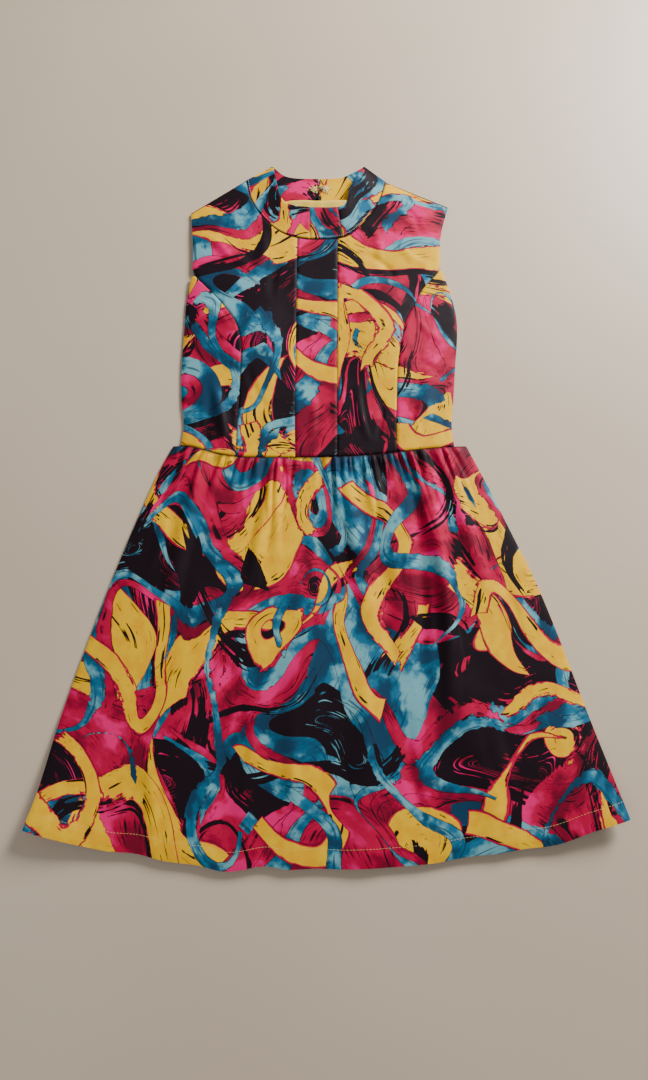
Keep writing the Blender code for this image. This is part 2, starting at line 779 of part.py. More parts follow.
def make_skirt_front():
    """The skirt's front, in one gathered width."""
    waist = gather_points(FRONT_GATHERS, WAIST[0].x, WAIST[-1].x)
    hem = at_shares(hem_line(-HALF_WIDTH, HALF_WIDTH), shares_of(waist))
    left = at_shares(smooth_curve(SKIRT_LEFT)[::-1], SKIRT_ROWS)
    right = at_shares(smooth_curve(SKIRT_RIGHT)[::-1], SKIRT_ROWS)
    sheet = patch(hem, waist, left, right, ("head",))
    side = 1 - np.abs(2 * sheet.across - 1) ** EDGE_POWER
    height = skirt_loft(sheet) + gathered(sheet, FRONT_GATHERS)
    height += folded(sheet, FRONT_FOLDS, sheet.across)
    height = FRONT_FLOOR / MM + height * side + corner_lift(sheet.x, sheet.y)
    cloth("skirt_front", sheet, height, YELLOW)


def make_skirt_back():
    """The skirt's back, in two gathered halves."""
    first, last = WAIST[0].x, WAIST[-1].x
    lowest = -HALF_LENGTH + BACK_HEM_STEP
    centre = np.array([(CENTRE_BACK_X, lowest), (CENTRE_BACK_X, waist_y(CENTRE_BACK_X))])
    centre = at_shares(centre, SKIRT_ROWS)
    for side, gathers, finish in (("left", BACK_GATHERS_LEFT, CRIMSON), ("right", BACK_GATHERS_RIGHT, TEAL)):
        if side == "left":
            waist = gather_points(gathers, first, CENTRE_BACK_X)
            hem = at_shares(hem_line(-HALF_WIDTH, CENTRE_BACK_X, lowest), shares_of(waist))
            edge = at_shares(smooth_curve(SKIRT_LEFT)[::-1], SKIRT_ROWS)
            sheet = patch(hem, waist, edge, centre, ("head", "right"))
        else:
            waist = gather_points(gathers, CENTRE_BACK_X, last)
            hem = at_shares(hem_line(CENTRE_BACK_X, HALF_WIDTH, lowest), shares_of(waist))
            edge = at_shares(smooth_curve(SKIRT_RIGHT)[::-1], SKIRT_ROWS)
            sheet = patch(hem, waist, centre, edge, ("head", "left"))
        whole = (sheet.x[-1] - first) / (last - first)
        height = gathered(sheet, gathers) + folded(sheet, BACK_FOLDS, whole)
        height = np.maximum(height, 0) + corner_lift(sheet.x, sheet.y)
        cloth(f"skirt_back_{side}", sheet, height, finish)


def skirt_loft(sheet):
    """How far the front stands off the back: least at the waist, most half way down."""
    return BODICE_LOFT + (SKIRT_LOFT - BODICE_LOFT) * np.sin(sheet.up * math.pi) ** LOFT_POWER


def make_zip():
    """The concealed zip's tape with its closed teeth, and the slider at its top."""
    left = CENTRE_BACK_X - ZIP_HALF_WIDTH
    right = CENTRE_BACK_X + ZIP_HALF_WIDTH
    foot, head = (even([(left, y), (right, y)], 4) for y in (ZIP_FOOT, ZIP_TOP))
    sheet = patch(foot, head, *(even([foot[end], head[end]], 12) for end in (0, -1)), ())
    teeth = TEETH_RISE * bump((sheet.across - 0.5) / TEETH_SHARE)
    cloth("back_zip", sheet, FRONT_FLOOR / MM + teeth, ZIP_BLACK, TAPE_WALL)

    wide = SLIDER_HALF_WIDTH
    narrow = SLIDER_HALF_WIDTH * SLIDER_TAIL
    foot = ZIP_TOP + SEAM / MM
    outline = [
        (CENTRE_BACK_X - wide, foot + SLIDER_LENGTH),
        (CENTRE_BACK_X - narrow, foot + SLIDER_LENGTH - SLIDER_SHOULDER),
        (CENTRE_BACK_X - narrow, foot),
        (CENTRE_BACK_X + narrow, foot),
        (CENTRE_BACK_X + narrow, foot + SLIDER_LENGTH - SLIDER_SHOULDER),
        (CENTRE_BACK_X + wide, foot + SLIDER_LENGTH),
    ]
    plate("zip_slider", outline, FRONT_FLOOR / MM, SLIDER_HEIGHT, ZIP_BLACK)


def plate(name, outline, floor, height, finish):
    """Makes a plate from an outline in the floor's plane, with its upper edges bevelled."""
    mesh = bpy.data.meshes.new(name)
    shape = bmesh.new()
    face = shape.faces.new([shape.verts.new((x * MM, y * MM, floor * MM)) for x, y in outline])
    made = bmesh.ops.extrude_face_region(shape, geom=[face], use_keep_orig=True)
    top = [item for item in made["geom"] if isinstance(item, bmesh.types.BMVert)]
    bmesh.ops.translate(shape, vec=(0, 0, height * MM), verts=top)
    rim = [edge for edge in shape.edges if all(vert in top for vert in edge.verts)]
    bmesh.ops.bevel(shape, geom=rim, offset=height * PLATE_BEVEL * MM, segments=2, affect="EDGES")
    bmesh.ops.recalc_face_normals(shape, faces=shape.faces[:])
    shape.to_mesh(mesh)
    shape.free()
    obj = bpy.data.objects.new(name, mesh)
    obj.data.materials.append(material(finish))
    bpy.context.scene.collection.objects.link(obj)


def make_hook_and_eye():
    """A flat hook on the right half of the collar, over the wire eye on the left half."""
    floor = FRONT_FLOOR / MM
    wire = bpy.data.curves.new("collar_eye", "CURVE")
    wire.dimensions = "3D"
    wire.bevel_depth = EYE_WIRE_RADIUS * MM
    wire.bevel_resolution = 2
    wire.use_fill_caps = True
    turn = np.radians(np.linspace(-90, 90, 9))
    bend = EYE_BEND_RADIUS
    loop = [(EYE_BEND_X + bend * math.cos(angle), bend * math.sin(angle)) for angle in turn]
    start = [(-EYE_REACH, -bend - EYE_SPLAY), (-EYE_NECK, -bend)]
    path = [*start, *loop, (-EYE_NECK, bend), (-EYE_REACH, bend + EYE_SPLAY)]
    line = wire.splines.new("POLY")
    line.points.add(len(path) - 1)
    for point, (x, y) in zip(line.points, path):
        point.co = ((CENTRE_BACK_X + x) * MM, (HOOK_Y + y) * MM, (floor + EYE_WIRE_RADIUS) * MM, 1)
    eye = bpy.data.objects.new("collar_eye", wire)
    eye.data.materials.append(material(BRASS))
    bpy.context.scene.collection.objects.link(eye)

    high = floor + 2 * EYE_WIRE_RADIUS + SEAM / MM
    outer_bend = HOOK_BEND + HOOK_METAL / 2
    side = (
        (HOOK_REACH, floor),
        (HOOK_REACH, floor + HOOK_METAL),
        (outer_bend, floor + HOOK_METAL),
        (outer_bend - HOOK_BEND_RUN, high + HOOK_METAL),
        (HOOK_TIP, high + HOOK_METAL),
        (HOOK_TIP, high),
        (HOOK_BEND - HOOK_BEND_RUN, high),
        (HOOK_BEND, floor),
    )
    mesh = bpy.data.meshes.new("collar_hook")
    shape = bmesh.new()
    first = HOOK_Y - HOOK_HALF_WIDTH
    corners = [shape.verts.new(((CENTRE_BACK_X + x) * MM, first * MM, z * MM)) for x, z in side]
    face = shape.faces.new(corners)
    made = bmesh.ops.extrude_face_region(shape, geom=[face], use_keep_orig=True)
    far = [item for item in made["geom"] if isinstance(item, bmesh.types.BMVert)]
    bmesh.ops.translate(shape, vec=(0, 2 * HOOK_HALF_WIDTH * MM, 0), verts=far)
    bmesh.ops.recalc_face_normals(shape, faces=shape.faces[:])
    shape.to_mesh(mesh)
    shape.free()
    hook = bpy.data.objects.new("collar_hook", mesh)
    hook.data.materials.append(material(BRASS))
    bpy.context.scene.collection.objects.link(hook)


clear_scene()
make_front_bodice()
make_back_bodice()
make_front_collar()
make_back_collar()
make_collar_facing()
make_skirt_front()
make_skirt_back()
make_zip()
make_hook_and_eye()
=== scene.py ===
"""Looks of a sleeveless dress with a stand collar and a gathered skirt, which lies flat on its back.

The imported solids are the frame. Each panel of cloth is laid out again here as a thin shell on its solid's
form, with finer gathers, creases and seams, and gets its print, sewing and closures.
Metres, +Z up, +Y from the hem to the collar, +X to the right of someone who looks down on the front.
Left and right are the viewer's. The tables are in millimetres, and MM turns them into metres.
"""

import logging
import math
from collections.abc import Callable, Mapping, Sequence
from dataclasses import dataclass
from enum import Enum
from typing import NamedTuple, TypeVar

import bpy
import numpy as np
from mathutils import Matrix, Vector


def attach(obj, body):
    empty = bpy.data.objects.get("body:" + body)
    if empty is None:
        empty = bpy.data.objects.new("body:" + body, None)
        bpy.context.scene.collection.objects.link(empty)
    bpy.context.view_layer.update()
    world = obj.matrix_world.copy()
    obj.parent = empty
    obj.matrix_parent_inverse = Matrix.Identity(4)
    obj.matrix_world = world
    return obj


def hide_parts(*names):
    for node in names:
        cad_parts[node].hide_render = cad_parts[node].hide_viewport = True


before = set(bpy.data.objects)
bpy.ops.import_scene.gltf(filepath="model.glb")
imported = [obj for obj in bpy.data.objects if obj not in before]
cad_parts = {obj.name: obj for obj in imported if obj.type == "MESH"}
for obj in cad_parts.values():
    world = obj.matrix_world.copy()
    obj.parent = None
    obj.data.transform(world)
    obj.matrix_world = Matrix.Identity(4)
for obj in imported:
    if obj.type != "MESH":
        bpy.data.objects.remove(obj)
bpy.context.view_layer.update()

log = logging.getLogger("dress")

Grid = np.ndarray
Line = np.ndarray
Object = bpy.types.Object
Material = bpy.types.Material
Socket = bpy.types.NodeSocket
Item = TypeVar("Item")

MM = 0.001

# Cloth, in millimetres
CREPE = 0.9
COLLAR_PLY = 1.3
FACING_PLY = 0.8
CAD_WALL = 1.5
FRONT_FLOOR = 1.8
LOWEST_FRONT = CREPE + 0.05

# Overall, in millimetres
HALF_WIDTH = 323.0
HALF_LENGTH = 419.5
CENTRE_BACK_X = 4.0
HEM_DEPTH = 19.5
NECK_STITCH_REACH = 3.0

# How the layers lie, in millimetres or shares
BODICE_LOFT = 3.2
SKIRT_LOFT = 4.2
LOFT_POWER = 0.7
EDGE_POWER = 8
ARMHOLE_GAPE = 1.8
ARMHOLE_FOOT = 236.0
ARMHOLE_HEAD = 350.0
ARMHOLE_RUN_IN = 28.0
SHOULDER_X = 156.0
SHOULDER_Y = 358.3
SHOULDER_SLOPE = 0.62
SHOULDER_RUN_IN = 22.0
COLLAR_BASE = 4.4
COLLAR_TOP = 8.6
COLLAR_RISE_POWER = 1.2
COLLAR_FOLD_SHARE = 0.10
FACING_GAP = 0.5
FACING_ROLL = 0.9
FACING_ROLL_RUN = 8.0
CORNER_LIFT = 15.0
CORNER_LIFT_X = 175.0
CORNER_LIFT_Y = -215.0
GATHER_START = 0.55
GATHER_FULL_AT = 9.0
GATHER_END = 1.15
GATHER_SHIFT = 2.2
FOLD_FADE_POWER = 0.8
SIDE_TURN = 5.0
SIDE_DROP = FRONT_FLOOR - LOWEST_FRONT

# How finely curves are drawn, how soft a seam's painted shade is, and how many waves make cloth uneven
CURVE_STEPS = 24
HEM_POINTS = 400
SHADE_BLUR = 0.4
RIPPLE_WAVES = 7

# Ranges of the seeded draws. A gather's three are for its half width, height and length
RIPPLE_STRETCH = (0.6, 1.7)
GATHER_GAIN = ((0.62, 1.15), (0.6, 1.85), (0.6, 1.5))
FINE_GATHER = ((1.8, 3.4), (0.5, 1.5), (6.0, 30.0))

# Degrees at which an edge looks sharp, and the slope from which a face shows the wrong side
SHARP_ANGLE = 50
WRONG_SIDE_SLOPE = -0.3


class Edge(Enum):
    """An edge of a laid-out panel."""

    FOOT = "foot"
    HEAD = "head"
    LEFT = "left"
    RIGHT = "right"


class Facing(Enum):
    """Which of a panel's faces show the cloth's right side."""

    UP = "up"
    DOWN = "down"
    BOTH = "both"


class Side(Enum):
    """A side of the dress, as the viewer sees it."""

    LEFT = "left"
    RIGHT = "right"

    @property
    def turn(self) -> int:
        """The side's sign along x."""
        return -1 if self is Side.LEFT else 1

    @property
    def outer(self) -> int:
        """The index of the outer end of a line that runs from left to right."""
        return 0 if self is Side.LEFT else -1

    @property
    def edges(self) -> tuple[Edge, Edge]:
        """The outer and the inner edge of a panel on this side."""
        return (Edge.LEFT, Edge.RIGHT) if self is Side.LEFT else (Edge.RIGHT, Edge.LEFT)

    def ordered(self, outer: Item, inner: Item) -> tuple[Item, Item]:
        """Returns an outer and an inner thing in their order from left to right."""
        return (outer, inner) if self is Side.LEFT else (inner, outer)


def table(kind: Callable[..., Item], *rows: tuple) -> tuple[Item, ...]:
    """Returns the rows of a table as things of one kind."""
    return tuple(kind(*row) for row in rows)


class Section(NamedTuple):
    """The seams of the bodice at one height, as x positions."""

    y: float
    side_left: float
    princess_left: float
    centre_left: float
    centre_right: float
    princess_right: float
    side_right: float


BODICE = table(
    Section,
    (36, -168, -100, -30, 19, 89, 158), (75, -161, -98, -30, 20, 90, 155),
    (110, -164, -95.5, -29.5, 20.5, 91.5, 159), (150, -164.5, -93.5, -28.5, 21.5, 94, 163),
    (180, -163, -93, -28, 22, 99, 166.5), (207, -161.5, -99.5, -27, 23, 106, 167.5),
    (230, -160.5, -114.5, -26.5, 23.5, 118, 164.5), (250, -157.5, -131, -26, 24, 129, 159.5),
    (272, -153.5, -151, -25.5, 24.5, 148, 152.5), (295, -152.5, -152.5, -25, 25, 150.5, 150.5),
    (325, -153.5, -153.5, -24, 26, 154, 154), (360, -156.5, -156.5, -23.5, 26.5, 164, 164),
)
PRINCESS_TOP = {Side.LEFT: 269.0, Side.RIGHT: 273.0}
ARMHOLE_START = 8.0
SHOULDER_TIP = {Side.LEFT: (-156.3, 355.3), Side.RIGHT: (164.0, 360.0)}


class Point(NamedTuple):
    """A point that a smooth seam or edge passes through."""

    x: float
    y: float


WAIST = table(
    Point,
    (-173, 53.5), (-153, 52), (-122, 42.5), (-90, 37.8), (-20, 36.2), (57, 38), (116, 43.7), (171, 48.4),
)
NECK_SEAM = table(
    Point,
    (-87.8, 400.2), (-82.5, 375), (-68, 348.7), (-46, 328), (-21, 318.8), (4, 317), (34, 320), (56, 336.3),
    (76.8, 364.9), (87.8, 395.4),
)
BACK_NECK_SEAM = table(
    Point,
    (-87.8, 400.2), (-62, 374), (CENTRE_BACK_X, 362.5), (64, 371), (87.8, 395.4),
)
COLLAR_FRONT_EDGE = table(
    Point,
    (-53.8, HALF_LENGTH), (-49.5, 393), (-44.5, 373), (-33, 362.1), (-8.1, 358.3), (25.5, 357.9),
    (37.5, 364), (42.8, 384.8), (51.5, 402), (60.8, 418.2),
)
COLLAR_BACK_EDGE = table(
    Point,
    (-53.8, HALF_LENGTH), (-39.5, 407.2), (-22, 403.3), (CENTRE_BACK_X, 402.6), (29, 403.1), (44.5, 409.3),
    (60.8, 418.2),
)
SKIRT_EDGE = {
    Side.LEFT: table(
        Point,
        (-173, 53.5), (-193.2, 12.5), (-231, -81.2), (-266.9, -182.6), (-291.4, -258.6), (-309.7, -332.2),
        (-HALF_WIDTH, -372.6),
    ),
    Side.RIGHT: table(
        Point,
        (171, 48.4), (196, -5.4), (216.4, -53.3), (241.4, -112), (265, -180.5), (291.8, -268.9),
        (HALF_WIDTH, -373.6),
    ),
}
HEM_RISE = 46.4
HEM_POWER = 2.2
BACK_HEM_STEP = 1.0
NECK_FRONT_Y = 318.0
COLLAR_SEAM_LEFT = -8.4
COLLAR_SEAM_RIGHT = (32.0, 26.3)
FACING_FOOT = 346.0
FACING_BOW = 5.0
FACING_EDGE = table(
    Point,
    (-44, 365.6), (-36, 367.2), (-20, 368.4), (4, 367.2), (24, 367.8), (33, 367.8), (39.5, 368.6),
)


class Wave(NamedTuple):
    """A wave of the hem: where it is, its half width and how far it pushes the edge out."""

    x: float
    half: float
    out: float


HEM_WAVES = table(
    Wave,
    (-205, 34, -3), (-111, 32, 4.2), (-66, 26, -3.4), (-12, 34, -1.6), (150, 40, -2), (245, 44, 3.6),
)


class Gather(NamedTuple):
    """A gather below the waist seam: its place on the seam, half width, height and length."""

    x: float
    half: float
    rise: float
    run: float


FRONT_GATHERS = table(
    Gather,
    (-163, 5, 1.4, 40), (-154, 5, 2.2, 55), (-144.5, 5.5, 2.8, 42), (-134, 6, 3.4, 75), (-124, 5, 2.4, 38),
    (-114, 5.5, 2, 50), (-103.5, 5.5, 2.7, 34), (-93, 5.5, 2.2, 58), (-82, 6, 3, 46), (-70.5, 6, 2.4, 62),
    (-59.5, 5.5, 2.2, 36), (-49, 5.5, 4, 90), (-38.5, 5.5, 2.4, 40), (-27.5, 6, 3.2, 66), (-16, 6, 2, 34),
    (-4.5, 6, 2.6, 52), (6.5, 5.5, 2.2, 38), (17.5, 5.5, 2.9, 60), (28.5, 5.5, 2, 32), (39, 5.5, 2.8, 48),
    (49.5, 5.5, 2.2, 64), (60.5, 6, 3.8, 88), (71.5, 5.5, 2.2, 36), (82, 5.5, 3, 58), (93.5, 6, 2.6, 44),
    (105.5, 6, 2.4, 70), (118.5, 7, 4.2, 105), (132, 6.5, 2.4, 46), (146, 6.5, 3.4, 80),
    (159.5, 6, 1.8, 44),
)
BACK_GATHERS = {
    Side.LEFT: table(
        Gather,
        (-148, 6.5, 1.1, 36), (-134, 6.5, 1.7, 50), (-119.5, 7, 1.3, 34), (-105, 6.5, 1.9, 56),
        (-91, 6.5, 1.4, 40), (-77, 6.5, 2, 60), (-62.5, 7, 1.5, 38), (-48, 6.5, 1.8, 52),
        (-33.5, 7, 1.4, 36), (-19, 6.5, 1.6, 44),
    ),
    Side.RIGHT: table(
        Gather,
        (27, 6.5, 1.5, 40), (41.5, 7, 1.9, 54), (56, 6.5, 1.3, 34), (70, 6.5, 1.8, 58), (84.5, 7, 1.4, 42),
        (99, 6.5, 2, 50), (113, 6.5, 1.5, 36), (127.5, 7, 1.7, 46), (142, 6.5, 1.1, 34),
    ),
}


class Fold(NamedTuple):
    """A long soft fold of the skirt. Shares of the width at its two ends, then distances from the waist."""

    across_top: float
    across_low: float
    start: float
    end: float
    half: float
    rise: float


FRONT_FOLDS = table(
    Fold,
    (0.115, 0.15, -20, 210, 16, 3), (0.36, 0.32, -20, 190, 12, 2.6), (0.585, 0.6, 10, 200, 15, 3.4),
    (0.655, 0.64, 60, 260, 17, -2.4), (0.85, 0.735, -20, 330, 15, 4.6), (0.79, 0.69, 30, 280, 13, -2.6),
    (0.905, 0.88, -10, 190, 14, 3), (0.47, 0.44, 120, 420, 34, 2.2), (0.22, 0.2, 150, 450, 36, 2.6),
    (0.3, 0.33, 200, 470, 22, -2), (0.59, 0.56, 230, 480, 30, 2), (0.76, 0.8, 220, 480, 34, 2.4),
)
BACK_FOLDS = table(
    Fold,
    (0.16, 0.15, 60, 360, 22, 2.2), (0.35, 0.33, 140, 440, 26, 2.4), (0.68, 0.69, 90, 380, 24, 2.3),
    (0.85, 0.86, 170, 430, 22, 1.8),
)


class Swell(NamedTuple):
    """A soft rise or hollow of the bodice, with its half sizes along and across its slope."""

    x: float
    y: float
    half_x: float
    half_y: float
    turn: float
    rise: float


BODICE_SWELLS = table(
    Swell,
    (-78, 186, 62, 92, 0, 4.6), (80, 190, 62, 92, 0, 5), (-118, 96, 13, 64, 10, 2.4),
    (-132, 84, 10, 48, -6, -1.6), (84, 284, 11, 36, -52, -1.8), (128, 118, 14, 58, -8, 1.8),
    (-106, 300, 12, 44, 48, 1.6), (0, 120, 30, 90, 0, -1),
)


class Crease(NamedTuple):
    """A crease of the cloth: its ends, bow, half width on either side, and height (a trough's is below 0)."""

    x: float
    y: float
    to_x: float
    to_y: float
    bow: float
    left: float
    right: float
    rise: float


BODICE_CREASES = table(
    Crease,
    (-128, 132, -112, 52, 4, 4, 8, 0.9), (-143, 110, -136, 58, -3, 5, 7, -0.7),
    (-150, 240, -104, 196, 6, 5, 9, 0.7), (-146, 262, -92, 236, -5, 6, 10, -0.6),
    (-150, 330, -104, 286, 6, 6, 11, 0.8), (-92, 372, -118, 322, -5, 6, 9, -0.6),
    (-66, 330, -84, 262, 7, 9, 12, 0.7), (-40, 300, -56, 236, -5, 8, 10, -0.5),
    (-60, 110, -72, 52, 4, 6, 9, 0.6), (-84, 150, -60, 96, -5, 7, 9, -0.5),
    (-6, 118, -12, 50, 2, 6, 8, 0.5), (8, 240, -4, 170, -3, 7, 8, -0.4), (46, 130, 58, 54, -4, 6, 9, 0.7),
    (74, 112, 66, 56, 3, 5, 7, -0.6), (60, 296, 96, 262, 5, 5, 9, -0.9),
    (96, 318, 142, 276, -6, 6, 10, 0.8), (104, 366, 130, 318, 5, 6, 9, -0.6),
    (68, 336, 74, 268, 6, 8, 11, 0.6), (118, 214, 158, 176, -5, 5, 9, 0.7),
    (110, 160, 150, 128, 5, 5, 8, -0.6), (122, 108, 116, 58, -3, 4, 7, 0.8),
    (142, 98, 146, 56, 2, 4, 6, -0.6),
)
SKIRT_CREASES = table(
    Crease,
    (-140, 46, -152, -14, 3, 3, 6, 1), (-54, 34, -60, -42, -3, 3, 5, 1.1),
    (-42, 30, -44, -30, 2, 3, 5, -0.9), (52, 34, 60, -34, 2, 3, 6, 1), (108, 42, 130, -66, -5, 4, 8, 1.2),
    (124, 36, 146, -50, -5, 5, 7, -1.1), (150, 40, 178, -36, 5, 4, 7, 1),
    (142, -60, 156, -214, -9, 6, 12, 1.1), (32, -58, 58, -112, 6, 8, 12, 0.9),
    (-70, -76, -84, -178, -6, 8, 14, -1), (-180, -20, -204, -104, 7, 7, 11, 0.8),
    (-130, -120, -150, -230, 8, 12, 16, 0.8), (-236, -150, -256, -262, -6, 10, 14, 0.8),
    (-92, -226, -104, -352, 8, 10, 16, -0.9), (-34, -250, -26, -380, -7, 11, 15, 0.9),
    (40, -210, 34, -330, 8, 12, 16, 0.7), (92, -256, 108, -376, -8, 10, 15, -0.8),
    (196, -90, 222, -196, 6, 8, 12, -0.8), (186, -230, 204, -350, -8, 12, 16, 0.9),
    (262, -252, 284, -340, 5, 8, 12, 0.8), (-196, -300, -188, -392, 5, 9, 13, 0.9),
    (-270, -330, -250, -388, -4, 8, 12, -0.7),
)


class Ripple(NamedTuple):
    """Slight unevenness of the cloth: which draws it comes from, and its usual wave length and height."""

    seed: int
    length: float
    rise: float


class PrintLay(NamedTuple):
    """Where a piece was cut from the printed cloth: an offset in metres and a turn in degrees."""

    dx: float
    dy: float
    turn: float


PRINT_LAYS = {
    "front_centre_panel": PrintLay(1.62, 0.52, 0.0),
    "front_panel_left": PrintLay(0.30, 1.10, 2.0),
    "front_panel_right": PrintLay(0.80, 1.42, -2.0),
    "side_front_left": PrintLay(0.95, 2.71, 4.0),
    "side_front_right": PrintLay(4.21, 0.83, -3.0),
    "back_bodice_left": PrintLay(1.62, 3.34, 1.0),
    "back_bodice_right": PrintLay(5.05, 2.47, -1.0),
    "collar_front_left": PrintLay(0.66, 1.62, 28.0),
    "collar_front_centre": PrintLay(1.22, 1.06, 90.0),
    "collar_front_right": PrintLay(1.40, 1.45, -30.0),
    "collar_back_left": PrintLay(0.10, 1.02, 12.0),
    "collar_back_right": PrintLay(0.82, 0.56, -8.0),
    "skirt_front": PrintLay(1.66, 1.10, 0.0),
    "skirt_back_left": PrintLay(7.21, 3.02, 0.0),
    "skirt_back_right": PrintLay(8.16, 4.55, 0.0),
}


def smooth_curve(points: Sequence[tuple[float, float]]) -> Line:
    """Works out the Catmull-Rom curve through some points.

    Args:
        points: The points that the curve passes through.

    Returns:
        A fine polyline on the curve.
    """
    knots = np.array(points, float)
    knots = np.vstack([2 * knots[0] - knots[1], knots, 2 * knots[-1] - knots[-2]])
    fine = []
    for before, here, there, after in zip(knots, knots[1:], knots[2:], knots[3:]):
        t = np.linspace(0, 1, CURVE_STEPS, endpoint=False)[:, None]
        bend = 2 * before - 5 * here + 4 * there - after
        twist = 3 * (here - there) + after - before
        fine.append(here + 0.5 * t * ((there - before) + t * (bend + t * twist)))
    return np.vstack([*fine, knots[-2:-1]])


def shares_of(line: Line) -> Line:
    """Returns each point's share of the polyline's length."""
    run = np.concatenate([[0], np.cumsum(np.linalg.norm(np.diff(line, axis=0), axis=1))])
    return run / run[-1]


def length_of(line: Line) -> float:
    """Returns the polyline's length."""
    return float(np.sum(np.linalg.norm(np.diff(line, axis=0), axis=1)))


def at_shares(line: Line, shares: Line) -> Line:
    """Returns the points of a polyline at shares of its length."""
    here = shares_of(line)
    return np.stack([np.interp(shares, here, line[:, axis]) for axis in range(line.shape[1])], 1)


def even(line: Line | Sequence[tuple[float, float]], steps: int) -> Line:
    """Returns the polyline with its points at equal distances."""
    return at_shares(np.array(line, float), np.linspace(0, 1, steps + 1))


def crowded(steps: int, crowding: float) -> Line:
    """Returns shares from 0 to 1 that lie closer together towards both ends."""
    t = np.linspace(0, 1, steps + 1)
    return t - crowding * np.sin(t * math.tau) / math.tau


def graded(line: Line | Sequence[tuple[float, float]], steps: int, crowding: float = 0.5) -> Line:
    """Returns the polyline with its points closer together towards its two ends."""
    return at_shares(np.array(line, float), crowded(steps, crowding))


def joined(*lines: Line) -> Line:
    """Returns one polyline of several, each of which starts where the last one ends."""
    return np.vstack([lines[0], *(line[1:] for line in lines[1:])])


def between(line: Line, first_x: float, last_x: float, steps: int) -> Line:
    """Cuts a stretch out of a line that runs from left to right.

    Args:
        line: The line, with its points from left to right.
        first_x: Where the stretch starts.
        last_x: Where the stretch ends.
        steps: How many equal steps the stretch gets.

    Returns:
        The stretch's points.
    """
    inside = line[(line[:, 0] > first_x) & (line[:, 0] < last_x)]
    ends = [(x, np.interp(x, line[:, 0], line[:, 1])) for x in (first_x, last_x)]
    return even(np.vstack([ends[0], inside, ends[1]]), steps)


def bump(distance: Grid) -> Grid:
    """Returns a soft hump: 1 in the middle, 0 from a distance of 1 on."""
    return np.cos(np.clip(np.abs(distance), 0, 1) * math.pi / 2) ** 2


def ramp(value: Grid) -> Grid:
    """Returns a soft step from 0 to 1."""
    value = np.clip(value, 0, 1)
    return value * value * (3 - 2 * value)


def wobble(place: Grid, pitch: float, drift: float, sway: float = 1.0, shift: Grid | float = 0.0) -> Grid:
    """Works out a wave that runs unevenly, as a slower one moves it to and fro.

    Args:
        place: How far along each point lies, in millimetres.
        pitch: The wave's phase for each millimetre.
        drift: The slower wave's phase for each millimetre.
        sway: How far the slower one moves it.
        shift: What is added to its phase.

    Returns:
        The wave, from -1 to 1.
    """
    return np.sin(place * pitch + np.sin(place * drift) * sway + shift)


def seam_x(name: str, y: Grid | float) -> Grid:
    """Returns the x of a bodice seam at a height, on the smooth curve through the sections."""
    rows = smooth_curve([(row.y, getattr(row, name)) for row in BODICE])
    return np.interp(y, rows[:, 0], rows[:, 1])


def waist_y(x: Grid | float) -> Grid:
    """Returns the height of the waist seam."""
    line = smooth_curve(WAIST)
    return np.interp(x, line[:, 0], line[:, 1])


def waist_x(name: str) -> float:
    """Returns where a bodice seam meets the waist."""
    return float(seam_x(name, BODICE[0].y))


def seam_line(name: str, top: float, steps: int, foot: float | None = None) -> Line:
    """Lays out a seam of the bodice.

    Args:
        name: The seam's column in the sections.
        top: The height at which the line ends.
        steps: How many steps the line gets.
        foot: The height at which it starts, or None for the waist.

    Returns:
        The line's points, from below to above.
    """
    start = float(waist_y(waist_x(name))) if foot is None else foot
    y = np.linspace(start, top, steps + 1)
    return np.stack([seam_x(name, y), y], 1)


def hem_line(first_x: float, last_x: float, lowest: float = -HALF_LENGTH) -> Line:
    """Lays out the hem's edge, a flat arc with its waves.

    Args:
        first_x: The edge's left end.
        last_x: The edge's right end.
        lowest: The edge stays above this.

    Returns:
        The edge's points, from left to right.
    """
    x = np.linspace(first_x, last_x, HEM_POINTS)
    y = -HALF_LENGTH + HEM_RISE * np.abs(x / HALF_WIDTH) ** HEM_POWER
    for wave in HEM_WAVES:
        y = y - wave.out * bump((x - wave.x) / wave.half)
    return np.stack([x, np.maximum(y, lowest)], 1)


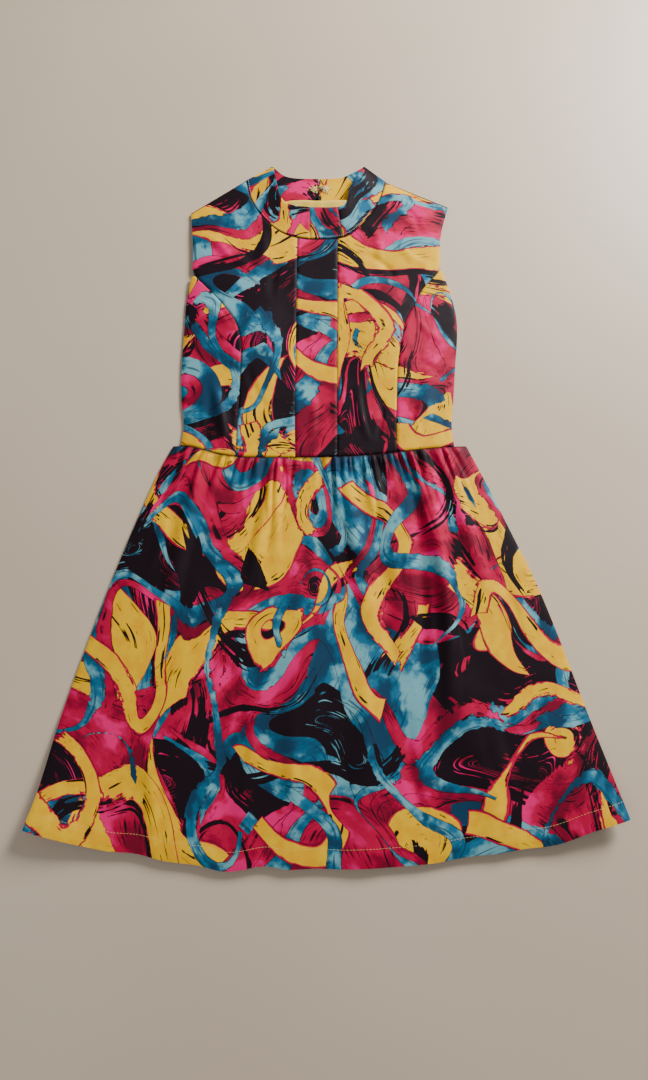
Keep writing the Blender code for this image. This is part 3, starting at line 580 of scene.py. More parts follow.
@dataclass(frozen=True)
class Sheet:
    """A panel laid out in the floor's plane, by row and column, in millimetres.

    Across and up hold each point's shares of the width and the height.
    """

    x: Grid
    y: Grid
    across: Grid
    up: Grid

    def flat(self) -> Grid:
        """Returns the panel's own layout in metres, as its flat form."""
        return np.stack([self.x, self.y], -1) * MM

    def reach(self, edge: Edge) -> Grid:
        """Measures how far each point lies from an edge, along its row or column.

        Args:
            edge: The edge.

        Returns:
            The distance at each point, in millimetres.
        """
        every, first, last = slice(None), slice(0, 1), slice(-1, None)
        ends = {
            Edge.FOOT: (first, every),
            Edge.HEAD: (last, every),
            Edge.LEFT: (every, first),
            Edge.RIGHT: (every, last),
        }[edge]
        return np.hypot(self.x - self.x[ends], self.y - self.y[ends])

    def shade(self, half: float, *edges: Edge) -> Grid:
        """Returns how deep in its seams' painted shade each point lies, from 0 at half away to 1 near a sewn
        edge.
        """
        away = np.minimum.reduce([self.reach(edge) for edge in edges])
        return np.clip((half - away) / (SHADE_BLUR * half), 0, 1)

    def ditch(self, depth: float, half: float, *edges: Edge) -> Grid:
        """Works out how far the cloth turns down into its seams.

        Args:
            depth: How deep it turns down at the seam, in millimetres.
            half: How far from the seam it starts, in millimetres.
            edges: The sewn edges.

        Returns:
            The drop at each point, 0 or less.
        """
        drop = np.zeros_like(self.x)
        for edge in edges:
            drop = np.minimum(drop, -depth * (1 - np.clip(self.reach(edge) / half, 0, 1)) ** 2)
        return drop

    def corner_lift(self) -> Grid:
        """Works out how far the hem's two corners curl up off the floor.

        Returns:
            The lift at each point, in millimetres.
        """
        outward = ramp((np.abs(self.x) - CORNER_LIFT_X) / (HALF_WIDTH - CORNER_LIFT_X)) ** 2
        down = ramp((CORNER_LIFT_Y - self.y) / (HALF_LENGTH + CORNER_LIFT_Y))
        return CORNER_LIFT * outward * down

    def creased(self, creases: Sequence[Crease]) -> Grid:
        """Adds up the heights of some creases.

        Args:
            creases: The creases.

        Returns:
            The height at each point.
        """
        height = np.zeros_like(self.x)
        for crease in creases:
            dx, dy = crease.to_x - crease.x, crease.to_y - crease.y
            run = math.hypot(dx, dy)
            from_x, from_y = self.x - crease.x, self.y - crease.y
            share = np.clip((from_x * dx + from_y * dy) / run**2, 0, 1)
            beside = (from_y * dx - from_x * dy) / run - 4 * crease.bow * share * (1 - share)
            half = np.where(beside > 0, crease.left, crease.right)
            height += crease.rise * bump(beside / half) * np.sin(share * math.pi) ** FOLD_FADE_POWER
        return height

    def rippled(self, *ripples: Ripple) -> Grid:
        """Adds up the slight unevenness that laid-out cloth keeps.

        Args:
            ripples: The kinds of unevenness.

        Returns:
            The height at each point.
        """
        height = np.zeros_like(self.x)
        for ripple in ripples:
            draws = np.random.default_rng(ripple.seed)
            waves = np.zeros_like(self.x)
            for _ in range(RIPPLE_WAVES):
                heading, phase = draws.uniform(0, math.pi), draws.uniform(0, math.tau)
                length = ripple.length * draws.uniform(*RIPPLE_STRETCH)
                along = self.x * math.cos(heading) + self.y * math.sin(heading)
                waves += np.sin(along * math.tau / length + phase)
            height += ripple.rise * waves / math.sqrt(RIPPLE_WAVES)
        return height


def patch(foot: Line, head: Line, left: Line, right: Line) -> Sheet:
    """Fills four edges with a grid through their points.

    Args:
        foot: The lower edge from left to right.
        head: The upper edge, with as many points.
        left: The left edge from foot to head.
        right: The right edge, with as many points.

    Returns:
        The laid-out panel.
    """
    columns = (shares_of(foot) + shares_of(head)) / 2
    rows = (shares_of(left) + shares_of(right)) / 2
    across, up = np.meshgrid(columns, rows)
    u, v = across[..., None], up[..., None]
    grid = (1 - v) * foot[None] + v * head[None] + (1 - u) * left[:, None] + u * right[:, None]
    grid -= (1 - u) * ((1 - v) * foot[0] + v * head[0])
    grid -= u * ((1 - v) * foot[-1] + v * head[-1])
    return Sheet(grid[..., 0], grid[..., 1], across, up)


def relaxed(sheet: Sheet, crowding: float = 0.5, turns: int = 600) -> Sheet:
    """Evens out a panel's inner points, so that no part of its grid folds over at a pointed edge.

    Args:
        sheet: The panel.
        crowding: How much closer together its rows lie towards the foot and the head.
        turns: How often each point moves towards the middle of its neighbours.

    Returns:
        The panel with its inner points moved.
    """
    gaps = np.diff(crowded(len(sheet.x) - 1, crowding))
    below, above = gaps[:-1, None], gaps[1:, None]
    level = (0.5 / sheet.x.shape[1]) ** 2 / (below * above)
    share_below, share_above = above / (below + above), below / (below + above)
    weight = level / (level + 1)
    fields = [sheet.x.copy(), sheet.y.copy()]
    for _ in range(turns):
        for each in fields:
            rows = share_below * each[:-2, 1:-1] + share_above * each[2:, 1:-1]
            columns = (each[1:-1, :-2] + each[1:-1, 2:]) / 2
            each[1:-1, 1:-1] = weight * rows + (1 - weight) * columns
    return Sheet(*fields, sheet.across, sheet.up)


class Recipe:
    """Adds nodes to a node tree and links them, so that a finish reads as a short recipe."""

    def __init__(self, tree: bpy.types.NodeTree) -> None:
        """Keeps the tree that the nodes go into."""
        self.tree = tree

    def put(self, socket: Socket, value: "Socket | float | Sequence[float]") -> None:
        """Links a socket to another, or sets its own value.

        Args:
            socket: The input.
            value: The socket that feeds it, or its own value.
        """
        if isinstance(value, bpy.types.NodeSocket):
            self.tree.links.new(value, socket)
        else:
            socket.default_value = value

    def node(self, kind: str, **settings: object) -> bpy.types.Node:
        """Adds a node and sets its properties.

        Args:
            kind: The node's type.
            settings: Its properties.

        Returns:
            The node.
        """
        made = self.tree.nodes.new(kind)
        for name, value in settings.items():
            setattr(made, name, value)
        return made

    def filled(
        self, kind: str, values: "Sequence[Socket | float | Sequence[float]]", **settings: object
    ) -> bpy.types.Node:
        """Adds a node and fills its first inputs.

        Args:
            kind: The node's type.
            values: What goes into its inputs, in their order.
            settings: Its properties.

        Returns:
            The node.
        """
        made = self.node(kind, **settings)
        for socket, value in zip(made.inputs, values):
            self.put(socket, value)
        return made

    def math(self, operation: str, *values: "Socket | float") -> Socket:
        """Adds a Math node and returns what it puts out."""
        return self.filled("ShaderNodeMath", values, operation=operation).outputs[0]

    def vector(self, operation: str, *values: "Socket | Sequence[float]") -> Socket:
        """Adds a Vector Math node and returns the vector that it puts out."""
        return self.filled("ShaderNodeVectorMath", values, operation=operation).outputs["Vector"]

    def step(self, value: Socket, low: "Socket | float", high: "Socket | float") -> Socket:
        """Returns a soft step from 0 at low to 1 at high."""
        made = self.filled("ShaderNodeMapRange", (value, low, high), interpolation_type="SMOOTHSTEP")
        return made.outputs[0]

    def noise(
        self,
        vector: Socket,
        scale: "Socket | float",
        detail: float = 0.0,
        flat: bool = True,
        colour: bool = False,
    ) -> Socket:
        """Adds a noise.

        Args:
            vector: Where it is read.
            scale: Its waves for each unit.
            detail: How many finer layers it has.
            flat: Whether it reads two coordinates and not three.
            colour: Whether it puts out three values and not one.

        Returns:
            What the noise puts out.
        """
        made = self.node("ShaderNodeTexNoise", noise_dimensions="2D" if flat else "3D")
        self.put(made.inputs["Vector"], vector)
        self.put(made.inputs["Scale"], scale)
        made.inputs["Detail"].default_value = detail
        return made.outputs[1 if colour else 0]

    def mix(
        self, share: "Socket | float", first: "Socket | Sequence[float]", second: "Socket | Sequence[float]"
    ) -> Socket:
        """Mixes two colours.

        Args:
            share: The second colour's share.
            first: The first colour.
            second: The second colour.

        Returns:
            The mixed colour.
        """
        made = self.node("ShaderNodeMix", data_type="RGBA")
        colour_inputs, colour_output = made.inputs[6:8], made.outputs[2]
        self.put(made.inputs[0], share)
        for socket, value in zip(colour_inputs, (first, second)):
            self.put(socket, value if isinstance(value, bpy.types.NodeSocket) else (*value, 1.0)[:4])
        return colour_output

    def group(self, tree: bpy.types.NodeTree, **values: "Socket | float") -> bpy.types.Node:
        """Places a node group and sets its inputs.

        Args:
            tree: The group.
            values: What goes into its inputs, with underscores for the blanks in their names.

        Returns:
            The group's node.
        """
        made = self.node("ShaderNodeGroup", node_tree=tree)
        for name, value in values.items():
            self.put(made.inputs[name.replace("_", " ")], value)
        return made


def new_group(
    name: str, inputs: Mapping[str, str], outputs: Sequence[str]
) -> tuple[Recipe, Mapping, Mapping]:
    """Starts a shader node group.

    Args:
        name: The group's name.
        inputs: Each input's name, with its kind of socket.
        outputs: The outputs' names, all of them plain values.

    Returns:
        The recipe that adds nodes to it, its inputs and its outputs.
    """
    tree = bpy.data.node_groups.new(name, "ShaderNodeTree")
    for title, kind in inputs.items():
        tree.interface.new_socket(title, in_out="INPUT", socket_type=f"NodeSocket{kind}")
    for title in outputs:
        tree.interface.new_socket(title, in_out="OUTPUT", socket_type="NodeSocketFloat")
    recipe = Recipe(tree)
    return recipe, recipe.node("NodeGroupInput").outputs, recipe.node("NodeGroupOutput").inputs


def brush_stroke_group() -> bpy.types.NodeTree:
    """Builds the brush stroke of the print: a wide curved stroke with torn edges and bristle marks.

    The stroke follows a level line of a smooth noise, or fills the noise's peaks above it. The noise's slope
    turns its height into a distance.

    Returns:
        The group, with the depth inside the stroke in metres and its bristle marks as values.
    """
    shape = {"Place": "Vector", "Seed": "Float", "Scale": "Float", "Level": "Float", "Fill": "Float"}
    size = {"Half Width": "Float", "Fray": "Float", "Tear": "Float", "Breaks": "Float"}
    recipe, given, out = new_group("brush_stroke", {**shape, **size}, ("Depth", "Bristle"))
    seed_slant, hop, least_slope, lively_slope = 1.73, 0.003, 0.6, (0.4, 1.3)
    pressure_scale, pressure_gain, pressure_base = 7.0, 4.0, -1.0
    break_scale, break_length, end_tear = 5.2, 0.6, 1.6
    seed = recipe.node("ShaderNodeCombineXYZ")
    recipe.put(seed.inputs[0], given["Seed"])
    recipe.put(seed.inputs[1], recipe.math("MULTIPLY", given["Seed"], seed_slant))
    place = recipe.vector("ADD", given["Place"], seed.outputs[0])
    here = recipe.noise(place, given["Scale"])
    beside = recipe.noise(recipe.vector("ADD", place, (hop, 0, 0)), given["Scale"])
    above = recipe.noise(recipe.vector("ADD", place, (0, hop, 0)), given["Scale"])
    rise_x = recipe.math("DIVIDE", recipe.math("SUBTRACT", beside, here), hop)
    rise_y = recipe.math("DIVIDE", recipe.math("SUBTRACT", above, here), hop)
    squared = recipe.math("MULTIPLY_ADD", rise_x, rise_x, recipe.math("MULTIPLY", rise_y, rise_y))
    slope = recipe.math("SQRT", squared)
    above_level = recipe.math("SUBTRACT", here, given["Level"])
    distance = recipe.math("DIVIDE", above_level, recipe.math("MAXIMUM", slope, least_slope))
    marks = recipe.node("ShaderNodeCombineXYZ")
    split = recipe.node("ShaderNodeSeparateXYZ")
    recipe.put(split.inputs[0], place)
    across, along = 300.0, 24.0
    for socket, value, scale in zip(marks.inputs, (distance, *split.outputs), (across, along, along)):
        recipe.put(socket, recipe.math("MULTIPLY", value, scale))
    bristle = recipe.math("SUBTRACT", recipe.noise(marks.outputs[0], 1.0, detail=1.5, flat=False), 0.5)
    bristle = recipe.math("MULTIPLY", bristle, recipe.step(slope, *lively_slope))
    torn = recipe.math("MULTIPLY", bristle, given["Tear"])
    bristle = recipe.math("ADD", bristle, 0.5)
    pressed = recipe.noise(place, pressure_scale)
    pressure = recipe.math("MULTIPLY_ADD", pressed, pressure_gain, pressure_base)
    half = recipe.math("MULTIPLY", given["Half Width"], pressure)
    beyond = recipe.math("MULTIPLY", distance, recipe.math("MULTIPLY", given["Fill"], -1.0))
    follows = recipe.math("SUBTRACT", 1.0, given["Fill"])
    outward = recipe.math("ABSOLUTE", recipe.math("MULTIPLY", distance, follows))
    inside = recipe.math("SUBTRACT", half, recipe.math("ADD", outward, beyond))
    inside = recipe.math("ADD", inside, recipe.math("ADD", given["Fray"], torn))
    ends = recipe.math("SUBTRACT", recipe.noise(place, break_scale), given["Breaks"])
    ends = recipe.math("MULTIPLY", ends, break_length)
    ends = recipe.math("ADD", ends, recipe.math("MULTIPLY_ADD", torn, end_tear, given["Fray"]))
    recipe.put(out["Depth"], recipe.math("MINIMUM", inside, ends))
    recipe.put(out["Bristle"], bristle)
    return recipe.tree


def crepe_grain_group() -> bpy.types.NodeTree:
    """Builds the grain of crepe: a fine pebbled weave with slight threads.

    Returns:
        The group, with the grain's height as a value.
    """
    recipe, given, out = new_group("crepe_grain", {"Place": "Vector", "Pitch": "Float"}, ("Height",))
    thread_scale, thread_height = 0.35, 0.35
    scale = recipe.math("DIVIDE", 1.0, given["Pitch"])
    pebble = recipe.noise(given["Place"], scale, detail=1.0, flat=False)
    thread = recipe.node("ShaderNodeTexWave", wave_type="BANDS", bands_direction="DIAGONAL")
    recipe.put(thread.inputs["Vector"], given["Place"])
    recipe.put(thread.inputs["Scale"], recipe.math("MULTIPLY", scale, thread_scale))
    thread.inputs["Distortion"].default_value = 1.5
    recipe.put(out["Height"], recipe.math("MULTIPLY_ADD", thread.outputs[1], thread_height, pebble))
    return recipe.tree


class Paint(Enum):
    """The paints of the print."""

    CRIMSON = "crimson"
    TEAL = "teal"
    YELLOW = "yellow"
    AUBERGINE = "aubergine"


class Stroke(NamedTuple):
    """One layer of the print. Its widths are in metres, and it fills its noise's peaks where fill is 1."""

    paint: Paint
    seed: float
    scale: float
    level: float
    fill: float
    half_width: float
    tear: float
    breaks: float


CRIMSON = (0.50, 0.0006, 0.046)
DEEP_CRIMSON = (0.19, 0.0004, 0.020)
PINK = (0.84, 0.004, 0.165)
AUBERGINE = (0.008, 0.0018, 0.0050)
YELLOW = (0.92, 0.52, 0.0002)
DEEP_YELLOW = (0.86, 0.42, 0.0002)
TEAL = (0.010, 0.145, 0.255)
DEEP_TEAL = (0.007, 0.042, 0.090)
PALE_BLUE = (0.16, 0.41, 0.46)


class DryMarks(NamedTuple):
    """A paint's dry marks: their colour, and where they start and are whole, by bristle and by wash."""

    colour: tuple[float, float, float]
    bristle: tuple[float, float]
    wash: tuple[float, float] | None = None


DRY_MARKS = {
    Paint.CRIMSON: DryMarks(AUBERGINE, (0.585, 0.62), (0.56, 0.47)),
    Paint.TEAL: DryMarks(DEEP_TEAL, (0.58, 0.66)),
    Paint.YELLOW: DryMarks(AUBERGINE, (0.60, 0.62), (0.49, 0.53)),
}
EVEN_DRYNESS = 0.75
STROKES = table(
    Stroke,
    (Paint.AUBERGINE, 3.1, 7, 0.61, 1, 0.002, 0.04, 0.22),
    (Paint.AUBERGINE, 71.3, 5, 0.5, 0, 0.013, 0.05, 0.42),
    (Paint.TEAL, 11.7, 5.4, 0.59, 1, 0.004, 0.014, 0.24),
    (Paint.AUBERGINE, 27.9, 8.4, 0.61, 1, 0.002, 0.034, 0.26),
    (Paint.TEAL, 3.1, 7, 0.54, 0, 0.0085, 0.004, 0.36),
    (Paint.YELLOW, 53.5, 6.4, 0.628, 1, 0.003, 0.03, 0.22),
    (Paint.CRIMSON, 19.4, 5.2, 0.605, 1, 0.003, 0.012, 0.24),
    (Paint.AUBERGINE, 36.2, 5.4, 0.465, 0, 0.008, 0.034, 0.41),
    (Paint.YELLOW, 36.2, 5.4, 0.51, 0, 0.012, 0.014, 0.44),
    (Paint.CRIMSON, 27.9, 8.4, 0.51, 0, 0.007, 0.01, 0.4),
    (Paint.TEAL, 27.9, 8.4, 0.57, 0, 0.006, 0.004, 0.36),
    (Paint.AUBERGINE, 44.8, 7.4, 0.5, 0, 0.006, 0.034, 0.44),
    (Paint.YELLOW, 3.1, 7, 0.6, 0, 0.006, 0.01, 0.43), (Paint.TEAL, 62.4, 7.4, 0.53, 0, 0.004, 0.004, 0.48),
)


@dataclass(frozen=True)
class PrintedCrepe:
    """Smooth polyester crepe with an abstract print of brush strokes, and shade painted into its colour at
    the seams.
    """

    name: str = "printed_crepe"
    roughness: float = 0.60
    sheen: float = 0.02
    sheen_roughness: float = 0.45
    specular: float = 0.15
    grain_pitch: float = 0.0007
    grain_depth: float = 0.00005
    drift: float = 0.085
    drift_scale: float = 6.0
    wash_scale: float = 24.0
    blot_scale: float = 60.0
    blot_shift: tuple[float, float, float] = (4.0, 1.0, 0.0)
    blot_share: float = 0.6
    crimson_from: tuple[float, float] = (0.34, 0.52)
    pink_from: tuple[float, float] = (0.54, 0.68)
    teal_from: tuple[float, float] = (0.36, 0.54)
    pale_from: tuple[float, float] = (0.78, 0.98)
    yellow_from: tuple[float, float] = (0.35, 0.65)
    fray_pitch: float = 120.0
    fray: float = 0.008
    ragged_scale: float = 11.0
    ragged_from: tuple[float, float] = (0.46, 0.60)
    smooth_share: float = 0.22
    wet_bristle: tuple[float, float] = (0.36, 0.40)
    wet_wash: tuple[float, float] = (0.53, 0.48)
    painted_seam_shade: float = 0.96
    rim: float = 0.0017
    outline: float = 0.0006
    blur: float = 0.0003
    wrong_side: bool = False
    wrong_side_share: float = 0.72
    cloth_white: tuple[float, float, float] = (0.62, 0.58, 0.54)

    def _paints(self, recipe: Recipe, cloth: Socket, place: Socket) -> tuple[dict[Paint, Socket], Socket]:
        """Mixes the three paints that have a wash.

        Args:
            recipe: The material's recipe.
            cloth: The place on the flat cloth.
            place: The same, drifted as the strokes are.

        Returns:
            Each paint's colour, and the wash that they share.
        """
        wash = recipe.noise(place, self.wash_scale, detail=4.0)
        blot = recipe.noise(recipe.vector("ADD", cloth, self.blot_shift), self.blot_scale, detail=3.0)
        crimson = recipe.mix(recipe.step(wash, *self.crimson_from), DEEP_CRIMSON, CRIMSON)
        crimson = recipe.mix(recipe.step(wash, *self.pink_from), crimson, PINK)
        teal = recipe.mix(recipe.step(wash, *self.teal_from), DEEP_TEAL, TEAL)
        pale = recipe.math("MULTIPLY_ADD", blot, self.blot_share, wash)
        teal = recipe.mix(recipe.step(pale, *self.pale_from), teal, PALE_BLUE)
        yellow = recipe.mix(recipe.step(blot, *self.yellow_from), DEEP_YELLOW, YELLOW)
        paints = {Paint.CRIMSON: crimson, Paint.TEAL: teal, Paint.YELLOW: yellow}
        return paints, wash

    @staticmethod
    def _brushed(recipe: Recipe, paint: Socket, over: Paint, bristle: Socket, wash: Socket) -> Socket:
        """Drags dry marks of another colour through a paint, along its stroke.

        Args:
            recipe: The material's recipe.
            paint: The paint's colour.
            over: Which paint it is.
            bristle: The stroke's bristle marks.
            wash: Where the brush runs dry.

        Returns:
            The brushed colour.
        """
        marks = DRY_MARKS[over]
        dryness = recipe.step(wash, *marks.wash) if marks.wash else EVEN_DRYNESS
        share = recipe.math("MULTIPLY", recipe.step(bristle, *marks.bristle), dryness)
        return recipe.mix(share, paint, marks.colour)

    def _laid(self, recipe: Recipe, depth: Socket, reach: float = 0.0) -> Socket:
        """Returns where paint lies, up to a reach beyond its stroke's edge."""
        return recipe.step(depth, -reach - self.blur, -reach + self.blur)

    def make(self, groups: "Groups") -> Material:
        """Makes the material.

        Args:
            groups: The shared node groups.

        Returns:
            The material.
        """
        material, recipe, shader = new_material(self.name)
        cloth = recipe.node("ShaderNodeUVMap", uv_map="cloth").outputs[0]
        drift = recipe.noise(cloth, self.drift_scale, detail=1.0, colour=True)
        drift = recipe.vector("SUBTRACT", drift, (0.5, 0.5, 0.5))
        place = recipe.vector("ADD", cloth, recipe.vector("MULTIPLY", drift, (self.drift,) * 3))
        paints, wash = self._paints(recipe, cloth, place)
        frayed = recipe.math("SUBTRACT", recipe.noise(place, self.fray_pitch, detail=3.0), 0.5)
        ragged = recipe.step(recipe.noise(place, self.ragged_scale, detail=1.0), *self.ragged_from)
        ragged = recipe.math("MULTIPLY_ADD", ragged, 1 - self.smooth_share, self.smooth_share)
        fray = recipe.math("MULTIPLY", recipe.math("MULTIPLY", frayed, self.fray), ragged)
        colour = None
        for stroke in STROKES:
            made = recipe.group(
                groups.brush_stroke,
                Place=place,
                Seed=stroke.seed,
                Scale=stroke.scale,
                Level=stroke.level,
                Fill=stroke.fill,
                Half_Width=stroke.half_width,
                Fray=fray,
                Tear=recipe.math("MULTIPLY", ragged, stroke.tear),
                Breaks=stroke.breaks,
            )
            depth, bristle = made.outputs["Depth"], made.outputs["Bristle"]
            if colour is None:
                colour = self._brushed(recipe, paints[Paint.CRIMSON], Paint.CRIMSON, bristle, wash)
            if stroke.paint is Paint.AUBERGINE:
                wet = recipe.step(bristle, *self.wet_bristle), recipe.step(wash, *self.wet_wash)
                wet = recipe.math("MAXIMUM", *wet)
                laid = recipe.math("MULTIPLY", self._laid(recipe, depth), wet)
                colour = recipe.mix(laid, colour, AUBERGINE)
                continue
            reach = self.rim if stroke.paint is Paint.YELLOW else 0.0
            colour = recipe.mix(self._laid(recipe, depth, reach + self.outline), colour, AUBERGINE)
            if reach:
                colour = recipe.mix(self._laid(recipe, depth, reach), colour, CRIMSON)
            paint = self._brushed(recipe, paints[stroke.paint], stroke.paint, bristle, wash)
            colour = recipe.mix(self._laid(recipe, depth), colour, paint)
        # Painted shade: the colour darkens towards aubergine in the seams and between the gathers, where
        # shadow falls
        shade = recipe.node("ShaderNodeAttribute", attribute_name="painted_seam_shade").outputs["Fac"]
        colour = recipe.mix(recipe.math("MULTIPLY", shade, self.painted_seam_shade), colour, AUBERGINE)
        if self.wrong_side:
            colour = recipe.mix(self.wrong_side_share, colour, self.cloth_white)
        recipe.put(shader.inputs["Base Color"], colour)
        shader.inputs["Sheen Weight"].default_value = self.sheen
        shader.inputs["Sheen Roughness"].default_value = self.sheen_roughness
        shader.inputs["Specular IOR Level"].default_value = self.specular
        dress_surface(recipe, shader, groups, self.roughness, self.grain_pitch, self.grain_depth)
        return material


@dataclass(frozen=True)
class PlainFabric:
    """A plain woven fabric in one colour, with a slight wash of a second one."""

    name: str
    colour: tuple[float, float, float]
    second: tuple[float, float, float]
    roughness: float = 0.66
    sheen: float = 0.2
    wash_scale: float = 90.0
    wash_from: tuple[float, float] = (0.3, 0.7)
    grain_pitch: float = 0.0007
    grain_depth: float = 0.00008

    def make(self, groups: "Groups") -> Material:
        """Makes the material.

        Args:
            groups: The shared node groups.

        Returns:
            The material.
        """
        material, recipe, shader = new_material(self.name)
        place = recipe.node("ShaderNodeTexCoord").outputs["Object"]
        wash = recipe.noise(place, self.wash_scale, detail=2.0, flat=False)
        share = recipe.step(wash, *self.wash_from)
        recipe.put(shader.inputs["Base Color"], recipe.mix(share, self.colour, self.second))
        shader.inputs["Sheen Weight"].default_value = self.sheen
        dress_surface(recipe, shader, groups, self.roughness, self.grain_pitch, self.grain_depth)
        return material


@dataclass(frozen=True)
class DullMetal:
    """Thin stamped or drawn metal, worn dull."""

    name: str
    colour: tuple[float, float, float]
    worn: tuple[float, float, float]
    roughness: float = 0.42
    wear_scale: float = 1400.0
    wear_from: tuple[float, float] = (0.40, 0.65)
    grain_pitch: float = 0.0004
    grain_depth: float = 0.00001

    def make(self, groups: "Groups") -> Material:
        """Makes the material.

        Args:
            groups: The shared node groups.

        Returns:
            The material.
        """
        material, recipe, shader = new_material(self.name)
        place = recipe.node("ShaderNodeTexCoord").outputs["Object"]
        wear = recipe.noise(place, self.wear_scale, detail=2.0, flat=False)
        share = recipe.step(wear, *self.wear_from)
        recipe.put(shader.inputs["Base Color"], recipe.mix(share, self.colour, self.worn))
        shader.inputs["Metallic"].default_value = 1.0
        dress_surface(recipe, shader, groups, self.roughness, self.grain_pitch, self.grain_depth)
        return material


@dataclass(frozen=True)
class Groups:
    """The node groups that the finishes share."""

    brush_stroke: bpy.types.NodeTree
    crepe_grain: bpy.types.NodeTree


def new_material(name: str) -> tuple[Material, Recipe, bpy.types.Node]:
    """Starts a material.

    Args:
        name: The material's name.

    Returns:
        The material, the recipe that adds nodes to it, and its shader.
    """
    material = bpy.data.materials.new(name)
    material.use_nodes = True
    return material, Recipe(material.node_tree), material.node_tree.nodes["Principled BSDF"]


def dress_surface(
    recipe: Recipe, shader: bpy.types.Node, groups: Groups, roughness: float, pitch: float, depth: float
) -> None:
    """Gives a surface its grain and an uneven roughness.

    Args:
        recipe: The material's recipe.
        shader: The material's shader.
        groups: The shared node groups.
        roughness: The middle roughness.
        pitch: The grain's pitch, in metres.
        depth: The grain's depth, in metres.
    """
    patches, spread = 60.0, 0.16
    place = recipe.node("ShaderNodeTexCoord").outputs["Object"]
    patchy = recipe.noise(place, patches, detail=2.0, flat=False)
    uneven = recipe.math("MULTIPLY_ADD", patchy, spread, roughness - spread / 2)
    recipe.put(shader.inputs["Roughness"], uneven)
    grain = recipe.group(groups.crepe_grain, Place=place, Pitch=pitch)
    relief = recipe.node("ShaderNodeBump")
    relief.inputs["Distance"].default_value = depth
    recipe.put(relief.inputs["Height"], grain.outputs[0])
    recipe.put(shader.inputs["Normal"], relief.outputs[0])


def deselect() -> None:
    """Leaves nothing selected, so that an operator acts on the new piece alone."""
    if bpy.context.object and bpy.context.object.mode != "OBJECT":
        bpy.ops.object.mode_set(mode="OBJECT")
    bpy.ops.object.select_all(action="DESELECT")


def apply_modifier(obj: Object, kind: str, **settings: object) -> None:
    """Adds a modifier to a piece, sets it and applies it.

    Args:
        obj: The piece.
        kind: The modifier's type.
        settings: Its settings.
    """
    modifier = obj.modifiers.new(kind.lower(), kind)
    for name, value in settings.items():
        setattr(modifier, name, value)
    bpy.context.view_layer.objects.active = obj
    bpy.ops.object.modifier_apply(modifier=modifier.name)


@dataclass
class Panel:
    """A piece of cloth as it lies: its layout, its underside's height, and its flat form in metres."""

    name: str
    sheet: Sheet
    under: Grid
    flat: Grid
    ply: float = CREPE
    facing: Facing = Facing.UP
    rests_on: tuple[str, ...] = ()
    shade: Grid | None = None

    def build(self, right_side: Material, wrong_side: Material, slot: str) -> Object:
        """Builds the panel as a closed thin shell.

        Args:
            right_side: The finish of the cloth's right side.
            wrong_side: The finish of its wrong side.
            slot: Not used.

        Returns:
            The panel's object.
        """
        deselect()
        rows, columns = self.sheet.x.shape
        bpy.ops.mesh.primitive_grid_add(x_subdivisions=columns - 1, y_subdivisions=rows - 1, size=1)
        panel = bpy.context.object
        panel.name = panel.data.name = f"{self.name}_cloth"
        places = np.stack([self.sheet.x, self.sheet.y, self.under], -1) * MM
        panel.data.vertices.foreach_set("co", places.ravel().astype(np.float32))
        self._lay_print(panel)
        # Painted shade, kept as a point attribute that darkens the colour in seams and between gathers
        shade = np.zeros_like(self.under) if self.shade is None else self.shade
        seams = panel.data.attributes.new("painted_seam_shade", "FLOAT", "POINT")
        seams.data.foreach_set("value", shade.ravel().astype(np.float32))
        panel.data.update()
        apply_modifier(panel, "SOLIDIFY", thickness=self.ply * MM, offset=1.0)
        panel.data.materials.append(right_side)
        panel.data.materials.append(wrong_side)
        self._turn_sides(panel)
        bpy.ops.object.shade_smooth_by_angle(angle=math.radians(SHARP_ANGLE))
        self._declare(panel)
        return panel

    def _lay_print(self, panel: Object) -> None:
        """Writes the piece's place on the printed cloth into its UV map.

        Args:
            panel: The panel's object.
        """
        lay = PRINT_LAYS.get(self.name, PrintLay(0, 0, 0))
        turn = math.radians(lay.turn)
        spin = np.array([[math.cos(turn), math.sin(turn)], [-math.sin(turn), math.cos(turn)]])
        flat = self.flat.reshape(-1, 2) @ spin + (lay.dx, lay.dy)
        corners = np.empty(len(panel.data.loops), np.int32)
        panel.data.loops.foreach_get("vertex_index", corners)
        layer = panel.data.uv_layers[0]
        layer.name = "cloth"
        layer.data.foreach_set("uv", flat[corners].ravel().astype(np.float32))

    def _turn_sides(self, panel: Object) -> None:
        """Gives the faces that look the wrong way the cloth's wrong side.

        Args:
            panel: The panel's object.
        """
        if self.facing is Facing.BOTH:
            return
        normals = np.empty(len(panel.data.polygons) * 3, np.float32)
        panel.data.polygons.foreach_get("normal", normals)
        up = normals.reshape(-1, 3)[:, 2] * (1 if self.facing is Facing.UP else -1)
        wrong = np.where(up < WRONG_SIDE_SLOPE, 1, 0).astype(np.int32)
        panel.data.polygons.foreach_set("material_index", wrong)

    def _declare(self, panel: Object) -> None:
        """Attaches the panel to the root body and hides the solid that it stands for.

        Args:
            panel: The panel's object.
        """
        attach(panel, "root")
        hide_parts(self.name)


